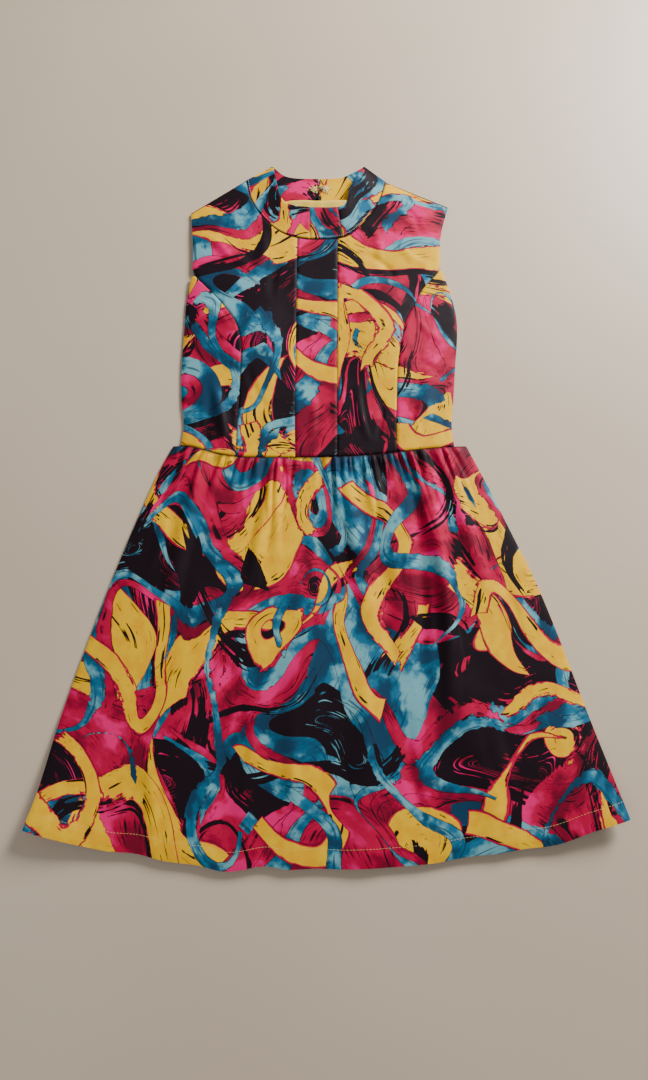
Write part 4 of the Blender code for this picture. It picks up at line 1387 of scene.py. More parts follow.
@dataclass
class FrontBodice:
    """The front's five panels: the centre strip, the panels beside it and the two side fronts."""

    ditch_depth: float = 1.4
    ditch_half: float = 3.0
    waist_ditch: float = 2.6
    waist_turn: float = 4.2
    neck_ditch: float = 2.2
    armhole_ditch: float = 0.5
    armhole_turn: float = 1.4
    pucker: float = 0.24
    pucker_half: float = 9.0
    pucker_wave: tuple[float, float, float] = (0.83, 0.31, 2.1)
    pucker_slant: float = 0.12
    # Painted shade along the waist, the neck and the seams
    foot_shade_half: float = 2.6
    head_shade_half: float = 2.2
    seam_shade_half: float = 1.2
    painted_seam_shade: float = 0.6
    crease_gain: float = 1.9
    gape_power: int = 4
    rows: int = 150
    side_rows: int = 110
    princess_steps: int = 94
    side_steps: int = 104
    armhole_steps: int = 32
    side_columns: int = 32
    side_crowding: float = 0.3
    shoulder_columns: int = 30
    neck_counts: tuple[int, ...] = (52, 12, 20, 6, 46)
    neck_columns: tuple[float, float] = (-91.0, 80.0)
    swells: tuple[Swell, ...] = BODICE_SWELLS
    creases: tuple[Crease, ...] = BODICE_CREASES
    ripples: tuple[Ripple, ...] = (Ripple(5, 46.0, 0.16), Ripple(6, 19.0, 0.05))

    def height(self, sheet: Sheet) -> Grid:
        """Works out the height of the front's underside.

        Args:
            sheet: A panel's layout.

        Returns:
            The height at each point, in millimetres.
        """
        x, y = sheet.x, sheet.y
        left, right = seam_x("side_left", y), seam_x("side_right", y)
        share = np.abs(2 * (x - left) / (right - left) - 1)
        shoulder = SHOULDER_Y + (SHOULDER_X - np.abs(x)) * SHOULDER_SLOPE
        edge = (1 - np.clip(share, 0, 1) ** EDGE_POWER) * ramp((shoulder - y) / SHOULDER_RUN_IN)
        gape = ARMHOLE_GAPE * ramp((y - ARMHOLE_FOOT) / ARMHOLE_RUN_IN) * share**self.gape_power
        gape = gape * ramp((ARMHOLE_HEAD - y) / ARMHOLE_RUN_IN)
        height = FRONT_FLOOR + BODICE_LOFT * edge + gape
        for swell in self.swells:
            turn = math.radians(swell.turn)
            along = (x - swell.x) * math.cos(turn) + (y - swell.y) * math.sin(turn)
            beside = (y - swell.y) * math.cos(turn) - (x - swell.x) * math.sin(turn)
            height = height + swell.rise * bump(np.hypot(along / swell.half_x, beside / swell.half_y)) * edge
        fine = self.crease_gain * sheet.creased(self.creases) + sheet.rippled(*self.ripples)
        return height + (CAD_WALL - CREPE) / 2 + fine * edge

    def seams(self, sheet: Sheet, *edges: Edge) -> Grid:
        """Works out the drop into a panel's seams, with small puckers along them.

        Args:
            sheet: The panel's layout.
            edges: The sewn edges.

        Returns:
            The drop at each point, in millimetres.
        """
        drop = sheet.ditch(self.ditch_depth, self.ditch_half, *edges)
        near = -sheet.ditch(1.0, self.pucker_half, *edges)
        wave = wobble(sheet.y, *self.pucker_wave, shift=sheet.x * self.pucker_slant)
        return drop + self.pucker * near * wave

    def neck(self, counts: Sequence[int]) -> Line:
        """Steps along the front neck seam.

        Args:
            counts: How many steps each of its five stretches has.

        Returns:
            The seam's points.
        """
        line = smooth_curve(NECK_SEAM)
        stops = (
            NECK_SEAM[0].x,
            float(seam_x("centre_left", NECK_FRONT_Y)),
            COLLAR_SEAM_LEFT,
            float(seam_x("centre_right", NECK_FRONT_Y)),
            COLLAR_SEAM_RIGHT[0],
            NECK_SEAM[-1].x,
        )
        return joined(*(between(line, here, there, n) for here, there, n in zip(stops, stops[1:], counts)))

    def layouts(self) -> dict[str, Sheet]:
        """Lays out the five panels.

        Returns:
            Each panel's name, with its layout.
        """
        waist, neck = smooth_curve(WAIST), self.neck(self.neck_counts)
        stops = np.cumsum((0, *self.neck_counts))
        beside = {Side.LEFT: neck[: stops[1] + 1], Side.RIGHT: neck[stops[3] :]}
        strip = neck[stops[1] : stops[3] + 1]
        centre = {
            side: graded(seam_line(f"centre_{side.value}", strip[side.outer, 1], self.rows), self.rows)
            for side in Side
        }
        foot = between(waist, waist_x("centre_left"), waist_x("centre_right"), len(strip) - 1)
        made = {"front_centre_panel": patch(foot, strip, *centre.values())}
        for side, column in zip(Side, self.neck_columns):
            tip, top = SHOULDER_TIP[side], PRINCESS_TOP[side]
            princess = seam_line(f"princess_{side.value}", top, self.princess_steps)
            start = top + ARMHOLE_START
            armhole = seam_line(f"side_{side.value}", tip[1], self.armhole_steps, start)
            outer = graded(joined(princess, np.vstack([princess[-1:], armhole[1:-1], [tip]])), self.rows)
            shoulder = even(side.ordered(tip, NECK_SEAM[side.outer]), self.shoulder_columns)
            head = joined(*side.ordered(shoulder, beside[side]))
            ends = waist_x(f"princess_{side.value}"), waist_x(f"centre_{side.value}")
            outer_foot = between(waist, *side.ordered(ends[0], column), self.shoulder_columns)
            inner_foot = between(waist, *side.ordered(column, ends[1]), len(beside[side]) - 1)
            foot = joined(*side.ordered(outer_foot, inner_foot))
            sheet = patch(foot, head, *side.ordered(outer, centre[side]))
            made[f"front_panel_{side.value}"] = relaxed(sheet)
            side_seam = seam_line(f"side_{side.value}", top, self.side_steps)
            lines = side.ordered(side_seam, princess)
            edges = [graded(line, self.side_rows, self.side_crowding) for line in lines]
            foot = between(waist, edges[0][0, 0], edges[1][0, 0], self.side_columns)
            head = even([edges[0][-1], edges[1][-1]], self.side_columns)
            made[f"side_front_{side.value}"] = patch(foot, head, *edges)
        return made

    def panels(self) -> list[Panel]:
        """Works out the five panels.

        Returns:
            The panels.
        """
        made = []
        for name, sheet in self.layouts().items():
            side = Side.LEFT if name.endswith("left") else Side.RIGHT
            outer, inner = side.edges
            sewn = (Edge.LEFT, Edge.RIGHT) if name == "front_centre_panel" else (inner,)
            under = self.height(sheet) + sheet.ditch(self.waist_ditch, self.waist_turn, Edge.FOOT)
            # Painted shade in the turns of the waist, neck and seams
            shade = sheet.shade(self.foot_shade_half, Edge.FOOT)
            if name.startswith("side"):
                under += sheet.ditch(SIDE_DROP, SIDE_TURN, outer)
            else:
                under += sheet.ditch(self.neck_ditch, self.ditch_half, Edge.HEAD)
                shade = np.maximum(shade, sheet.shade(self.head_shade_half, Edge.HEAD))
            if name.startswith("front_panel"):
                below = ramp((PRINCESS_TOP[side] + ARMHOLE_START - sheet.y) / ARMHOLE_START)
                turned = sheet.ditch(self.armhole_ditch, self.armhole_turn, outer)
                under += self.seams(sheet, outer) * below + turned * (1 - below)
                seam = self.painted_seam_shade * sheet.shade(self.seam_shade_half, outer)
                shade = np.maximum(shade, seam * below)
            under = np.maximum(under + self.seams(sheet, *sewn), LOWEST_FRONT)
            shade = np.maximum(shade, self.painted_seam_shade * sheet.shade(self.seam_shade_half, *sewn))
            back = f"back_bodice_{side.value}"
            rests_on = ("back_bodice_left", "back_zip") if name == "front_centre_panel" else (back,)
            made.append(Panel(name, sheet, under, sheet.flat(), rests_on=rests_on, shade=shade))
        return made


@dataclass
class BackBodice:
    """The back's two halves, flat on the floor, closed at the centre back."""

    rows: int = 110
    columns_at_shoulder: int = 30
    columns_at_neck: int = 44
    shoulder_turn: float = 3.0
    ripple: Ripple = Ripple(8, 60.0, 0.12)

    def neck(self, side: Side, steps: int) -> Line:
        """Returns the back neck seam's points on one side of the centre back."""
        line = smooth_curve(BACK_NECK_SEAM)
        return between(line, *side.ordered(line[side.outer, 0], CENTRE_BACK_X), steps)

    def panels(self) -> list[Panel]:
        """Works out the two halves.

        Returns:
            The panels.
        """
        waist = smooth_curve(WAIST)
        centre = even([(CENTRE_BACK_X, waist_y(CENTRE_BACK_X)), BACK_NECK_SEAM[2]], self.rows)
        made = []
        for side in Side:
            tip = SHOULDER_TIP[side]
            edge = seam_line(f"side_{side.value}", tip[1] - self.shoulder_turn, self.rows)
            edge = np.vstack([edge[:-1], [tip]])
            neck = self.neck(side, self.columns_at_neck)
            shoulder = even(side.ordered(tip, neck[side.outer]), self.columns_at_shoulder)
            head = joined(*side.ordered(shoulder, neck))
            ends = side.ordered(waist_x(f"side_{side.value}"), CENTRE_BACK_X)
            sheet = patch(between(waist, *ends, len(head) - 1), head, *side.ordered(edge, centre))
            under = np.maximum(sheet.rippled(self.ripple), 0)
            made.append(Panel(f"back_bodice_{side.value}", sheet, under, sheet.flat(), facing=Facing.DOWN))
        return made


@dataclass
class StandCollar:
    """The stand collar: three pieces in front, two halves behind, and the facing that shows in the neck."""

    rows: int = 28
    neck_counts: tuple[int, ...] = (44, 8, 24, 3, 40)
    back_columns: int = 44
    facing_columns: int = 60
    crowding: float = 0.6
    strip_height: float = 42.0
    slit_gap: float = 0.05
    slit_opening: float = 1.2
    slit_foot: float = 384.0
    ditch_depth: float = 1.1
    ditch_half: float = 2.8
    foot_ditch: float = 1.9
    head_ditch: float = 0.6
    head_turn: float = 2.2
    # Painted shade along the neck seam and the collar's seams
    foot_shade_half: float = 2.6
    seam_shade_half: float = 1.2
    painted_seam_shade: float = 0.6
    facing_ditch: float = 0.8
    facing_turn: float = 2.5
    facing_wave: float = 0.25
    facing_pitches: tuple[float, float] = (0.34, 0.11)
    ripple: Ripple = Ripple(11, 34.0, 0.12)

    def _front_height(self, sheet: Sheet, start: float, end: float) -> Grid:
        """Works out the front collar's underside, which stands off the back one between its two folds.

        Args:
            sheet: A piece's layout.
            start: Where the piece starts, as a share of the neck seam.
            end: Where it ends.

        Returns:
            The height at each point, in millimetres.
        """
        along = start + (end - start) * sheet.across
        fold = ramp(np.minimum(along, 1 - along) / COLLAR_FOLD_SHARE)
        rise = COLLAR_BASE + (COLLAR_TOP - COLLAR_BASE) * sheet.up**COLLAR_RISE_POWER
        return FRONT_FLOOR + (rise - FRONT_FLOOR) * fold + sheet.rippled(self.ripple) * fold

    def front(self) -> list[Panel]:
        """Works out the three pieces of the front collar.

        Returns:
            The panels.
        """
        stops = np.cumsum((0, *self.neck_counts))
        neck = FrontBodice().neck(self.neck_counts)
        edge = smooth_curve(COLLAR_FRONT_EDGE)
        cuts = (edge[0, 0], COLLAR_SEAM_LEFT, COLLAR_SEAM_RIGHT[1], edge[-1, 0])
        reach, whole = shares_of(neck), length_of(neck)
        made = []
        for order, (name, first, last, seams, rests_on) in enumerate(
            (
                ("collar_front_left", stops[0], stops[2], (Edge.RIGHT,), "collar_back_left"),
                ("collar_front_centre", stops[2], stops[4], (Edge.LEFT, Edge.RIGHT), "collar_facing"),
                ("collar_front_right", stops[4], stops[5], (Edge.LEFT,), "collar_back_right"),
            )
        ):
            foot = neck[first : last + 1]
            head = at_shares(between(edge, cuts[order], cuts[order + 1], HEM_POINTS), shares_of(foot))
            ends = [graded([foot[end], head[end]], self.rows, self.crowding) for end in (0, -1)]
            sheet = patch(foot, head, *ends)
            under = self._front_height(sheet, reach[first], reach[last])
            under += sheet.ditch(self.ditch_depth, self.ditch_half, *seams)
            under += sheet.ditch(self.foot_ditch, self.ditch_half, Edge.FOOT)
            under += sheet.ditch(self.head_ditch, self.head_turn, Edge.HEAD)
            across = reach[first] * whole + sheet.across * ((reach[last] - reach[first]) * whole)
            flat = np.stack([across, sheet.up * self.strip_height], -1) * MM
            seam = self.painted_seam_shade * sheet.shade(self.seam_shade_half, *seams)
            shade = np.maximum(sheet.shade(self.foot_shade_half, Edge.FOOT), seam)
            made.append(Panel(name, sheet, under, flat, COLLAR_PLY, Facing.BOTH, (rests_on,), shade))
        return made

    def back(self) -> list[Panel]:
        """Works out the two halves of the back collar.

        Returns:
            The panels.
        """
        edge = smooth_curve(COLLAR_BACK_EDGE)
        y = np.linspace(BACK_NECK_SEAM[2].y, COLLAR_BACK_EDGE[3].y, self.rows + 1)
        gape = self.slit_gap + self.slit_opening * ramp((y - self.slit_foot) / (y[-1] - self.slit_foot))
        made = []
        for side in Side:
            slit = np.stack([CENTRE_BACK_X + side.turn * gape, y], 1)
            foot = BackBodice().neck(side, self.back_columns)
            head = between(edge, *side.ordered(edge[side.outer, 0], slit[-1, 0]), self.back_columns)
            fold = even([foot[side.outer], head[side.outer]], self.rows)
            sheet = patch(foot, head, *side.ordered(fold, slit))
            name, level = f"collar_back_{side.value}", np.zeros_like(sheet.x)
            made.append(Panel(name, sheet, level, sheet.flat(), COLLAR_PLY, Facing.BOTH))
        return made

    def facing(self) -> Panel:
        """Works out the facing, rolled up past the front collar's top edge as a crescent.

        Returns:
            The panel.
        """
        outer = even(smooth_curve(FACING_EDGE), self.facing_columns)
        inner = outer.copy()
        inner[:, 1] = FACING_FOOT + FACING_BOW * np.linspace(-1, 1, len(outer)) ** 2
        sheet = patch(inner, outer, *(even([inner[end], outer[end]], self.rows) for end in (0, -1)))
        neck, edge = smooth_curve(NECK_SEAM[2:9]), smooth_curve(COLLAR_FRONT_EDGE[2:8])
        low = np.interp(sheet.x, neck[:, 0], neck[:, 1])
        high = np.interp(sheet.x, edge[:, 0], edge[:, 1])
        up = np.clip((sheet.y - low) / (high - low), 0, 1)
        collar = COLLAR_BASE + (COLLAR_TOP - COLLAR_BASE) * up**COLLAR_RISE_POWER
        under = collar - FACING_PLY - FACING_GAP + FACING_ROLL * ramp((sheet.y - high) / FACING_ROLL_RUN)
        under += sheet.ditch(self.facing_ditch, self.facing_turn, Edge.HEAD)
        under += self.facing_wave * wobble(sheet.x, *self.facing_pitches) * sheet.up
        rests_on = ("collar_front_centre",)
        return Panel("collar_facing", sheet, under, sheet.flat(), FACING_PLY, Facing.BOTH, rests_on)


@dataclass
class GatheredSkirt:
    """The skirt: one gathered width in front, two gathered halves behind, and the turned-up hem."""

    columns: int = 300
    rows: int = 124
    rows_even: float = 0.42
    rows_power: float = 1.8
    flat_waist: float = 0.50
    flat_hem: float = 0.66
    hem_ply: float = 0.45
    hem_step: float = 3.0
    hem_groove: float = 0.35
    hem_groove_half: float = 2.4
    hem_pull: float = 0.16
    hem_pull_half: float = 14.0
    hem_pull_wave: tuple[float, float, float] = (0.37, 0.13, 1.7)
    hem_ditch: float = 0.5
    hem_turn: float = 1.8
    fine_gathers: int = 120
    fine_gathers_span: tuple[float, float] = (0.02, 0.98)
    gather_lean: float = 0.06
    gather_lean_turn: float = 2.4
    gather_widens_over: float = 160.0
    back_gather_gain: float = 0.8
    fold_gain: float = 1.4
    crease_gain: float = 2.0
    bodice_ditch: float = 1.6
    bodice_turn: float = 2.0
    # Painted shade: a dark line in the waist seam, and dark streaks between the gathers below it
    waist_shade: float = 0.9
    waist_shade_half: float = 2.2
    streak_rise: float = 3.0
    streak_run: float = 20.0
    streak_shade: float = 0.80
    ripples: tuple[Ripple, ...] = (Ripple(22, 74.0, 0.30), Ripple(23, 28.0, 0.08))
    front_seed: int = 21
    back_seed: int = 31

    def _rows(self, line: Line) -> Line:
        """Returns a line's points from hem to waist at the rows' shares, closer together near the waist."""
        t = 1 - np.linspace(0, 1, self.rows + 1)
        return at_shares(line, 1 - (self.rows_even * t + (1 - self.rows_even) * t**self.rows_power))

    def _gathered(self, sheet: Sheet, gathers: Sequence[Gather], seed: int) -> Grid:
        """Works out the gathers' height, with fine puckers between them.

        Args:
            sheet: The panel's layout, with the waist as its head.
            gathers: The gathers.
            seed: Which fine puckers.

        Returns:
            The height at each point, in millimetres.
        """
        down = sheet.reach(Edge.HEAD)
        place = np.broadcast_to(sheet.x[-1], sheet.x.shape)
        draws = np.random.default_rng(seed)
        span = float(np.ptp(sheet.x[-1]))
        count = round(self.fine_gathers * span / (WAIST[-1].x - WAIST[0].x))
        fine = [
            Gather(float(sheet.x[-1, 0] + span * share), *(draws.uniform(*ends) for ends in FINE_GATHER))
            for share in draws.uniform(*self.fine_gathers_span, count)
        ]
        lively = [
            Gather(
                gather.x + draws.uniform(-GATHER_SHIFT, GATHER_SHIFT),
                *(size * draws.uniform(*ends) for size, ends in zip(gather[1:], GATHER_GAIN)),
            )
            for gather in gathers
        ]
        grown = GATHER_START + (1 - GATHER_START) * ramp(down / GATHER_FULL_AT)
        height = np.zeros_like(sheet.x)
        for order, gather in enumerate([*lively, *fine]):
            lean = self.gather_lean * math.sin(order * self.gather_lean_turn) * down
            fade = grown * ramp(GATHER_END - down / gather.run)
            wider = gather.half * (1 + down / self.gather_widens_over)
            height += gather.rise * bump((place - gather.x - lean) / wider) * fade
        return height

    def _folded(self, sheet: Sheet, folds: Sequence[Fold], whole_across: Grid) -> Grid:
        """Works out the long folds' height.

        Args:
            sheet: The panel's layout.
            folds: The folds.
            whole_across: Each point's share of the whole skirt's width.

        Returns:
            The height at each point, in millimetres.
        """
        width = np.ptp(sheet.x, axis=1)[:, None] / np.ptp(whole_across)
        down = sheet.reach(Edge.HEAD)
        height = np.zeros_like(sheet.x)
        for fold in folds:
            share = np.clip((down - fold.start) / (fold.end - fold.start), 0, 1)
            middle = fold.across_top + (fold.across_low - fold.across_top) * share
            fade = np.sin(share * math.pi) ** FOLD_FADE_POWER
            height += self.fold_gain * fold.rise * bump((whole_across - middle) * width / fold.half) * fade
        return height

    def _hem(self, sheet: Sheet) -> Grid:
        """Works out the turned-up hem: a second ply, a shallow groove at its stitches and a soft edge.

        Args:
            sheet: The panel's layout.

        Returns:
            The hem's height at each point, in millimetres.
        """
        up = sheet.reach(Edge.FOOT) - HEM_DEPTH
        ply = self.hem_ply * (1 - ramp(up / self.hem_step))
        groove = -self.hem_groove * bump(up / self.hem_groove_half)
        pull = self.hem_pull * wobble(sheet.x, *self.hem_pull_wave) * bump(up / self.hem_pull_half)
        return ply + groove + pull + sheet.ditch(self.hem_ditch, self.hem_turn, Edge.FOOT)

    def _flat(self, sheet: Sheet, whole_across: Grid) -> Grid:
        """Returns the skirt's flat form: wider at the waist than the seam that it is gathered into."""
        width = self.flat_hem + (self.flat_waist - self.flat_hem) * sheet.up
        return np.stack([(whole_across - 0.5) * width, -sheet.reach(Edge.HEAD) * MM], -1)

    def _shade(self, sheet: Sheet, gathered: Grid) -> Grid:
        """Works out the painted shade at the waist: a dark line in the seam's turn, and dark streaks between
        the gathers.

        Args:
            sheet: The panel's layout.
            gathered: The gathers' height.

        Returns:
            The painted shade at each point, from 0 to 1.
        """
        hollow = np.clip(1 - gathered / self.streak_rise, 0, 1)
        fade = 1 - np.clip(sheet.reach(Edge.HEAD) / self.streak_run, 0, 1)
        seam = self.waist_shade * sheet.shade(self.waist_shade_half, Edge.HEAD)
        return np.maximum(seam, self.streak_shade * hollow * fade)

    def front(self) -> Panel:
        """Works out the skirt's front, in one gathered width.

        Returns:
            The panel.
        """
        waist = between(smooth_curve(WAIST), WAIST[0].x, WAIST[-1].x, self.columns)
        hem = at_shares(hem_line(-HALF_WIDTH, HALF_WIDTH), shares_of(waist))
        sheet = patch(hem, waist, *(self._rows(smooth_curve(SKIRT_EDGE[side])[::-1]) for side in Side))
        edge = 1 - np.abs(2 * sheet.across - 1) ** EDGE_POWER
        loft = BODICE_LOFT + (SKIRT_LOFT - BODICE_LOFT) * np.sin(sheet.up * math.pi) ** LOFT_POWER
        gathered = self._gathered(sheet, FRONT_GATHERS, self.front_seed)
        height = loft + gathered + self._folded(sheet, FRONT_FOLDS, sheet.across)
        height += self.crease_gain * sheet.creased(SKIRT_CREASES) + sheet.rippled(*self.ripples)
        under = FRONT_FLOOR + height * edge + (CAD_WALL - CREPE) / 2
        under += sheet.ditch(SIDE_DROP, SIDE_TURN, Edge.LEFT, Edge.RIGHT)
        under += sheet.ditch(self.bodice_ditch, self.bodice_turn, Edge.HEAD) + self._hem(sheet)
        under = np.maximum(under, LOWEST_FRONT) + sheet.corner_lift()
        flat, shade = self._flat(sheet, sheet.across), self._shade(sheet, gathered)
        rests_on = ("skirt_back_left", "skirt_back_right")
        return Panel("skirt_front", sheet, under, flat, rests_on=rests_on, shade=shade)

    def back(self) -> list[Panel]:
        """Works out the skirt's back, in two gathered halves.

        Returns:
            The panels.
        """
        first, last = WAIST[0].x, WAIST[-1].x
        lowest = -HALF_LENGTH + BACK_HEM_STEP
        waist_line = smooth_curve(WAIST)
        centre = self._rows(np.array([(CENTRE_BACK_X, lowest), (CENTRE_BACK_X, waist_y(CENTRE_BACK_X))]))
        made = []
        for seed, side in enumerate(Side, self.back_seed):
            ends = side.ordered(WAIST[side.outer].x, CENTRE_BACK_X)
            waist = between(waist_line, *ends, self.columns // 2)
            hem_ends = side.ordered(side.turn * HALF_WIDTH, CENTRE_BACK_X)
            hem = at_shares(hem_line(*hem_ends, lowest), shares_of(waist))
            outer = self._rows(smooth_curve(SKIRT_EDGE[side])[::-1])
            sheet = patch(hem, waist, *side.ordered(outer, centre))
            whole = np.broadcast_to((sheet.x[-1] - first) / (last - first), sheet.x.shape)
            gathered = self._gathered(sheet, BACK_GATHERS[side], seed)
            height = gathered * self.back_gather_gain + self._folded(sheet, BACK_FOLDS, whole)
            under = np.maximum(height, 0) + sheet.corner_lift()
            flat, shade = self._flat(sheet, whole), self._shade(sheet, gathered)
            name = f"skirt_back_{side.value}"
            made.append(Panel(name, sheet, under, flat, facing=Facing.DOWN, shade=shade))
        return made


@dataclass
class Sewing:
    """The thread that shows: runs of stitches along a seam, and heaps of thread."""

    thread_radius: float = 0.17
    stitch: float = 2.9
    pitch: float = 3.5
    segments: int = 6
    rings: int = 5

    @staticmethod
    def line_on(panel: Panel, reach: float) -> Line:
        """Finds a line on a panel's top at a distance from its foot.

        Args:
            panel: The panel.
            reach: The distance from the foot, in millimetres.

        Returns:
            The line's points, in millimetres.
        """
        away = panel.sheet.reach(Edge.FOOT)
        fields = (panel.sheet.x, panel.sheet.y, panel.under + panel.ply)
        columns = range(away.shape[1])
        return np.array([[np.interp(reach, away[:, n], each[:, n]) for each in fields] for n in columns])

    def run(self, name: str, line: Line, finish: Material) -> Object:
        """Sews a run of stitches along a line.

        Args:
            name: The piece's name.
            line: The line's points, in millimetres.
            finish: The thread's finish.

        Returns:
            The stitches, as one piece.
        """
        run = length_of(line)
        middles = (np.arange(int(run // self.pitch)) + 0.5) * self.pitch
        places = at_shares(line, middles / run)
        ahead = at_shares(line, np.clip((middles + self.stitch / 2) / run, 0, 1))
        return self.place_stitches(name, places, ahead - places, finish)

    def place_stitches(self, name: str, middles: Line, headings: Line, finish: Material) -> Object:
        """Copies one stitch to many places.

        Args:
            name: The piece's name.
            middles: The stitches' middles, in millimetres.
            headings: The way that each stitch runs.
            finish: The thread's finish.

        Returns:
            The stitches, as one piece.
        """
        deselect()
        bpy.ops.mesh.primitive_uv_sphere_add(segments=self.segments, ring_count=self.rings, radius=1.0)
        one = bpy.context.object
        shape = np.array([vertex.co for vertex in one.data.vertices])
        shape = shape[:, [2, 0, 1]] * (self.stitch / 2, self.thread_radius, self.thread_radius)
        faces = [tuple(face.vertices) for face in one.data.polygons]
        bpy.data.objects.remove(one)
        points, corners = [], []
        for middle, heading in zip(middles, headings):
            turn = Vector(heading).to_track_quat("X", "Z").to_matrix()
            corners += [tuple(index + len(points) * len(shape) for index in face) for face in faces]
            points.append(shape @ np.array(turn).T + middle)
        mesh = bpy.data.meshes.new(name)
        mesh.from_pydata((np.vstack(points) * MM).tolist(), [], corners)
        mesh.materials.append(finish)
        mesh.shade_smooth()
        made = bpy.data.objects.new(name, mesh)
        bpy.context.scene.collection.objects.link(made)
        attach(made, "root")
        log.info("%s: %d stitches", name, len(points))
        return made


class Heap(NamedTuple):
    """A small heap of thread: where it is beside the slit, and how many stitches it has."""

    beside: float
    stitches: int


@dataclass
class Closure:
    """The centre back's closure: the zip's tape and its teeth, and the sewing of the hook and eye."""

    tape_half: float = 12.0
    tape_ply: float = 0.6
    tape_columns: int = 24
    tape_rows: int = 120
    tape_wave: float = 0.06
    tape_wave_pitch: float = 0.05
    top: float = 364.0
    foot: float = -108.0
    teeth_from: float = -104.0
    teeth_to: float = 363.0
    tooth_pitch: float = 1.3
    tooth_radius: float = 0.42
    tooth_width: float = 4.2
    tooth_lean: float = 0.25
    tooth_lift: float = 0.15
    hook_y: float = 388.0
    heaps: tuple[Heap, ...] = (Heap(-6.4, 84), Heap(8.0, 92))
    heap_spread: tuple[float, float] = (2.7, 2.3)
    heap_foot: float = 1.6
    heap_height: float = 1.7
    heap_reach: float = 6.0
    heap_fill: tuple[float, float] = (0.7, 1.0)
    heap_slope: tuple[float, float] = (-0.25, 0.25)
    heap_seed: int = 41
    heap_thread: float = 0.36
    heap_stitch: float = 3.4

    def tape(self) -> Panel:
        """Works out the zip's tape.

        Returns:
            The panel.
        """
        left, right = CENTRE_BACK_X - self.tape_half, CENTRE_BACK_X + self.tape_half
        foot, head = (even([(left, y), (right, y)], self.tape_columns) for y in (self.foot, self.top))
        sheet = patch(foot, head, *(even([foot[end], head[end]], self.tape_rows) for end in (0, -1)))
        under = FRONT_FLOOR + self.tape_wave * np.sin(sheet.y * self.tape_wave_pitch)
        rests_on = ("back_bodice_left", "back_bodice_right")
        return Panel("back_zip", sheet, under, sheet.flat(), self.tape_ply, Facing.BOTH, rests_on)

    def teeth(self, finish: Material) -> Object:
        """Builds the closed teeth as a row of small loops along the tape.

        Args:
            finish: The teeth's finish.

        Returns:
            The teeth, as one piece.
        """
        y = np.arange(self.teeth_from, self.teeth_to, self.tooth_pitch)
        top = FRONT_FLOOR + self.tape_ply + self.tooth_lift
        middles = np.stack([np.full_like(y, CENTRE_BACK_X), y, np.full_like(y, top)], 1)
        headings = np.tile((1.0, self.tooth_lean, 0.0), (len(y), 1))
        row = Sewing(thread_radius=self.tooth_radius, stitch=self.tooth_width)
        made = row.place_stitches("zip_teeth", middles, headings, finish)
        return made

    def hook_sewing(self, finish: Material) -> Object:
        """Sews the hook and the eye on, with a small heap of pale thread on either side of the slit.

        Args:
            finish: The thread's finish.

        Returns:
            The heaps, as one piece.
        """
        draws = np.random.default_rng(self.heap_seed)
        middles, headings = [], []
        for heap in self.heaps:
            centre_x = CENTRE_BACK_X + heap.beside
            for _ in range(heap.stitches):
                x = draws.normal(centre_x, self.heap_spread[0])
                y = draws.normal(self.hook_y, self.heap_spread[1])
                near = max(0.0, 1 - math.hypot(x - centre_x, y - self.hook_y) / self.heap_reach)
                z = self.heap_foot + self.heap_height * near * draws.uniform(*self.heap_fill)
                middles.append((x, y, z))
                turn = draws.uniform(0, math.pi)
                headings.append((math.cos(turn), math.sin(turn), draws.uniform(*self.heap_slope)))
        sewing = Sewing(thread_radius=self.heap_thread, stitch=self.heap_stitch)
        made = sewing.place_stitches("hook_sewing", np.array(middles), np.array(headings), finish)
        return made


class Lamp(NamedTuple):
    """A square soft light: its name, place and size in metres, and power in watts."""

    name: str
    place: tuple[float, float, float]
    size: float
    power: float


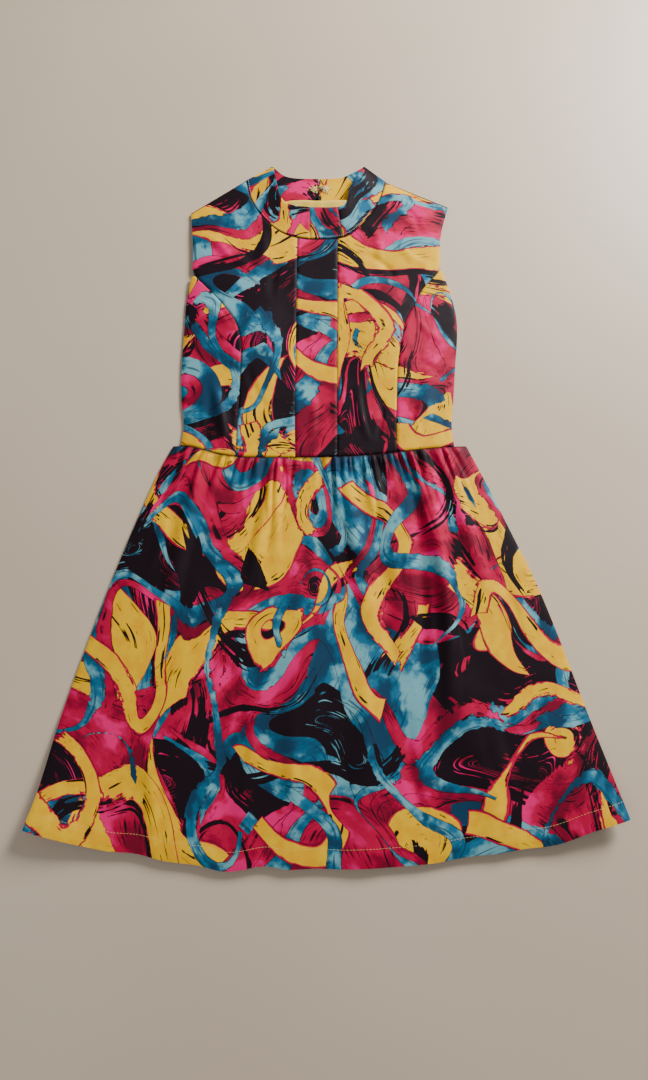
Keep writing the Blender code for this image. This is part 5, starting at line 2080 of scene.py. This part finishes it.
@dataclass
class Studio:
    """The plain pale floor, the soft lights and the camera."""

    floor_half: float = 3.0
    floor_drop: float = 0.0004
    floor_colours: tuple[tuple[float, ...], ...] = ((0.62, 0.49, 0.355), (0.66, 0.53, 0.395))
    floor_roughness: float = 0.45
    cloud_scale: float = 2.0
    cloud_from: tuple[float, float] = (0.3, 0.7)
    window: Lamp = Lamp("window", (1.25, 1.35, 0.95), 0.7, 80.0)
    fill: Lamp = Lamp("fill", (-1.2, -0.8, 1.7), 1.6, 6.0)
    sky_colour: tuple[float, ...] = (0.95, 0.97, 1.0, 1.0)
    sky_strength: float = 0.27
    camera_place: tuple[float, float, float] = (-0.01006, -0.25460, 0.960)
    camera_turn: tuple[float, float, float] = (11.419, -0.511, -1.011)
    lens: float = 28.333
    sensor: float = 36.0

    def floor(self) -> Object:
        """Lays the floor.

        Returns:
            The floor.
        """
        deselect()
        bpy.ops.mesh.primitive_plane_add(size=2 * self.floor_half, location=(0, 0, -self.floor_drop))
        floor = bpy.context.object
        floor.name = "floor"
        material, recipe, shader = new_material("pale_floor")
        place = recipe.node("ShaderNodeTexCoord").outputs["Object"]
        cloud = recipe.noise(place, self.cloud_scale, detail=2.0, flat=False)
        share = recipe.step(cloud, *self.cloud_from)
        recipe.put(shader.inputs["Base Color"], recipe.mix(share, *self.floor_colours))
        shader.inputs["Roughness"].default_value = self.floor_roughness
        floor.data.materials.append(material)
        return floor

    def lights(self) -> None:
        """Hangs one large soft light beyond the collar and a weak one on the other side."""
        for lamp in (self.window, self.fill):
            light = bpy.data.lights.new(lamp.name, "AREA")
            light.shape = "SQUARE"
            light.size = lamp.size
            light.energy = lamp.power
            hung = bpy.data.objects.new(lamp.name, light)
            hung.location = lamp.place
            hung.rotation_euler = (-Vector(lamp.place)).to_track_quat("-Z", "Y").to_euler()
            bpy.context.scene.collection.objects.link(hung)
        world = bpy.data.worlds.new("studio")
        world.use_nodes = True
        sky = world.node_tree.nodes["Background"].inputs
        sky["Color"].default_value = self.sky_colour
        sky["Strength"].default_value = self.sky_strength
        bpy.context.scene.world = world

    def camera(self) -> None:
        """Sets up the camera at the photo's angle."""
        deselect()
        turn = tuple(math.radians(angle) for angle in self.camera_turn)
        bpy.ops.object.camera_add(location=self.camera_place, rotation=turn)
        camera = bpy.context.object
        camera.data.lens = self.lens
        camera.data.sensor_width = self.sensor
        camera.data.sensor_fit = "AUTO"
        bpy.context.scene.camera = camera

    def build(self) -> None:
        """Sets the floor, the lights and the camera."""
        self.floor()
        self.lights()
        self.camera()


def main() -> None:
    """Builds the dress's looks, piece by piece, and then the studio."""
    logging.basicConfig(level=logging.INFO, format="%(name)s: %(message)s")
    groups = Groups(brush_stroke_group(), crepe_grain_group())
    printed = PrintedCrepe().make(groups)
    wrong_side = PrintedCrepe(name="printed_crepe_wrong_side", wrong_side=True).make(groups)
    facing = PlainFabric("facing_crepe", (0.80, 0.52, 0.03), (0.84, 0.58, 0.07)).make(groups)
    tape, thread, neck_thread_and_highlight = (
        fabric.make(groups)
        for fabric in (
            PlainFabric("zip_tape", (0.020, 0.016, 0.018), (0.035, 0.028, 0.03), grain_pitch=0.0005),
            PlainFabric("pale_thread", (0.82, 0.58, 0.12), (0.86, 0.70, 0.28), grain_pitch=0.0003),
            # Grey thread that is partly a painted highlight along the collar's foot
            PlainFabric("grey_thread_and_edge_highlight", (0.52, 0.40, 0.40), (0.66, 0.56, 0.54), grain_pitch=0.0003),
        )
    )
    metal = DullMetal("dull_hook_metal", (0.30, 0.27, 0.20), (0.46, 0.42, 0.32)).make(groups)
    enamel = DullMetal("dark_enamel", (0.03, 0.028, 0.026), (0.10, 0.09, 0.07)).make(groups)

    collar = StandCollar()
    skirt = GatheredSkirt()
    closure = Closure()
    skirt_front = skirt.front()
    collar_front = collar.front()
    panels = [*FrontBodice().panels(), *BackBodice().panels(), *collar_front, *collar.back()]
    for panel in [*panels, skirt_front, *skirt.back()]:
        panel.build(printed, wrong_side, "printed_crepe")
    collar.facing().build(facing, facing, "facing")
    closure.tape().build(tape, tape, "zip_tape")
    closure.teeth(tape)
    closure.hook_sewing(thread)

    hem_sewing, neck_sewing = Sewing(), Sewing(thread_radius=0.26, stitch=2.1, pitch=2.7)
    hem = hem_sewing.line_on(skirt_front, HEM_DEPTH)
    hem_sewing.run("hem_stitches", hem, thread)
    # Pale stitches at the collar's foot: a stitched line that is also a painted highlight along the collar's
    # edge above the neck seam
    for panel in collar_front:
        line = neck_sewing.line_on(panel, NECK_STITCH_REACH)
        neck_sewing.run(f"{panel.name}_stitches", line, neck_thread_and_highlight)
    for name, finish in (("collar_hook", metal), ("collar_eye", metal), ("zip_slider", enamel)):
        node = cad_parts[name]
        node.data.materials.clear()
        node.data.materials.append(finish)
        log.info("%s: finish %s", name, finish.name)
    Studio().build()


if __name__ == "__main__":
    main()
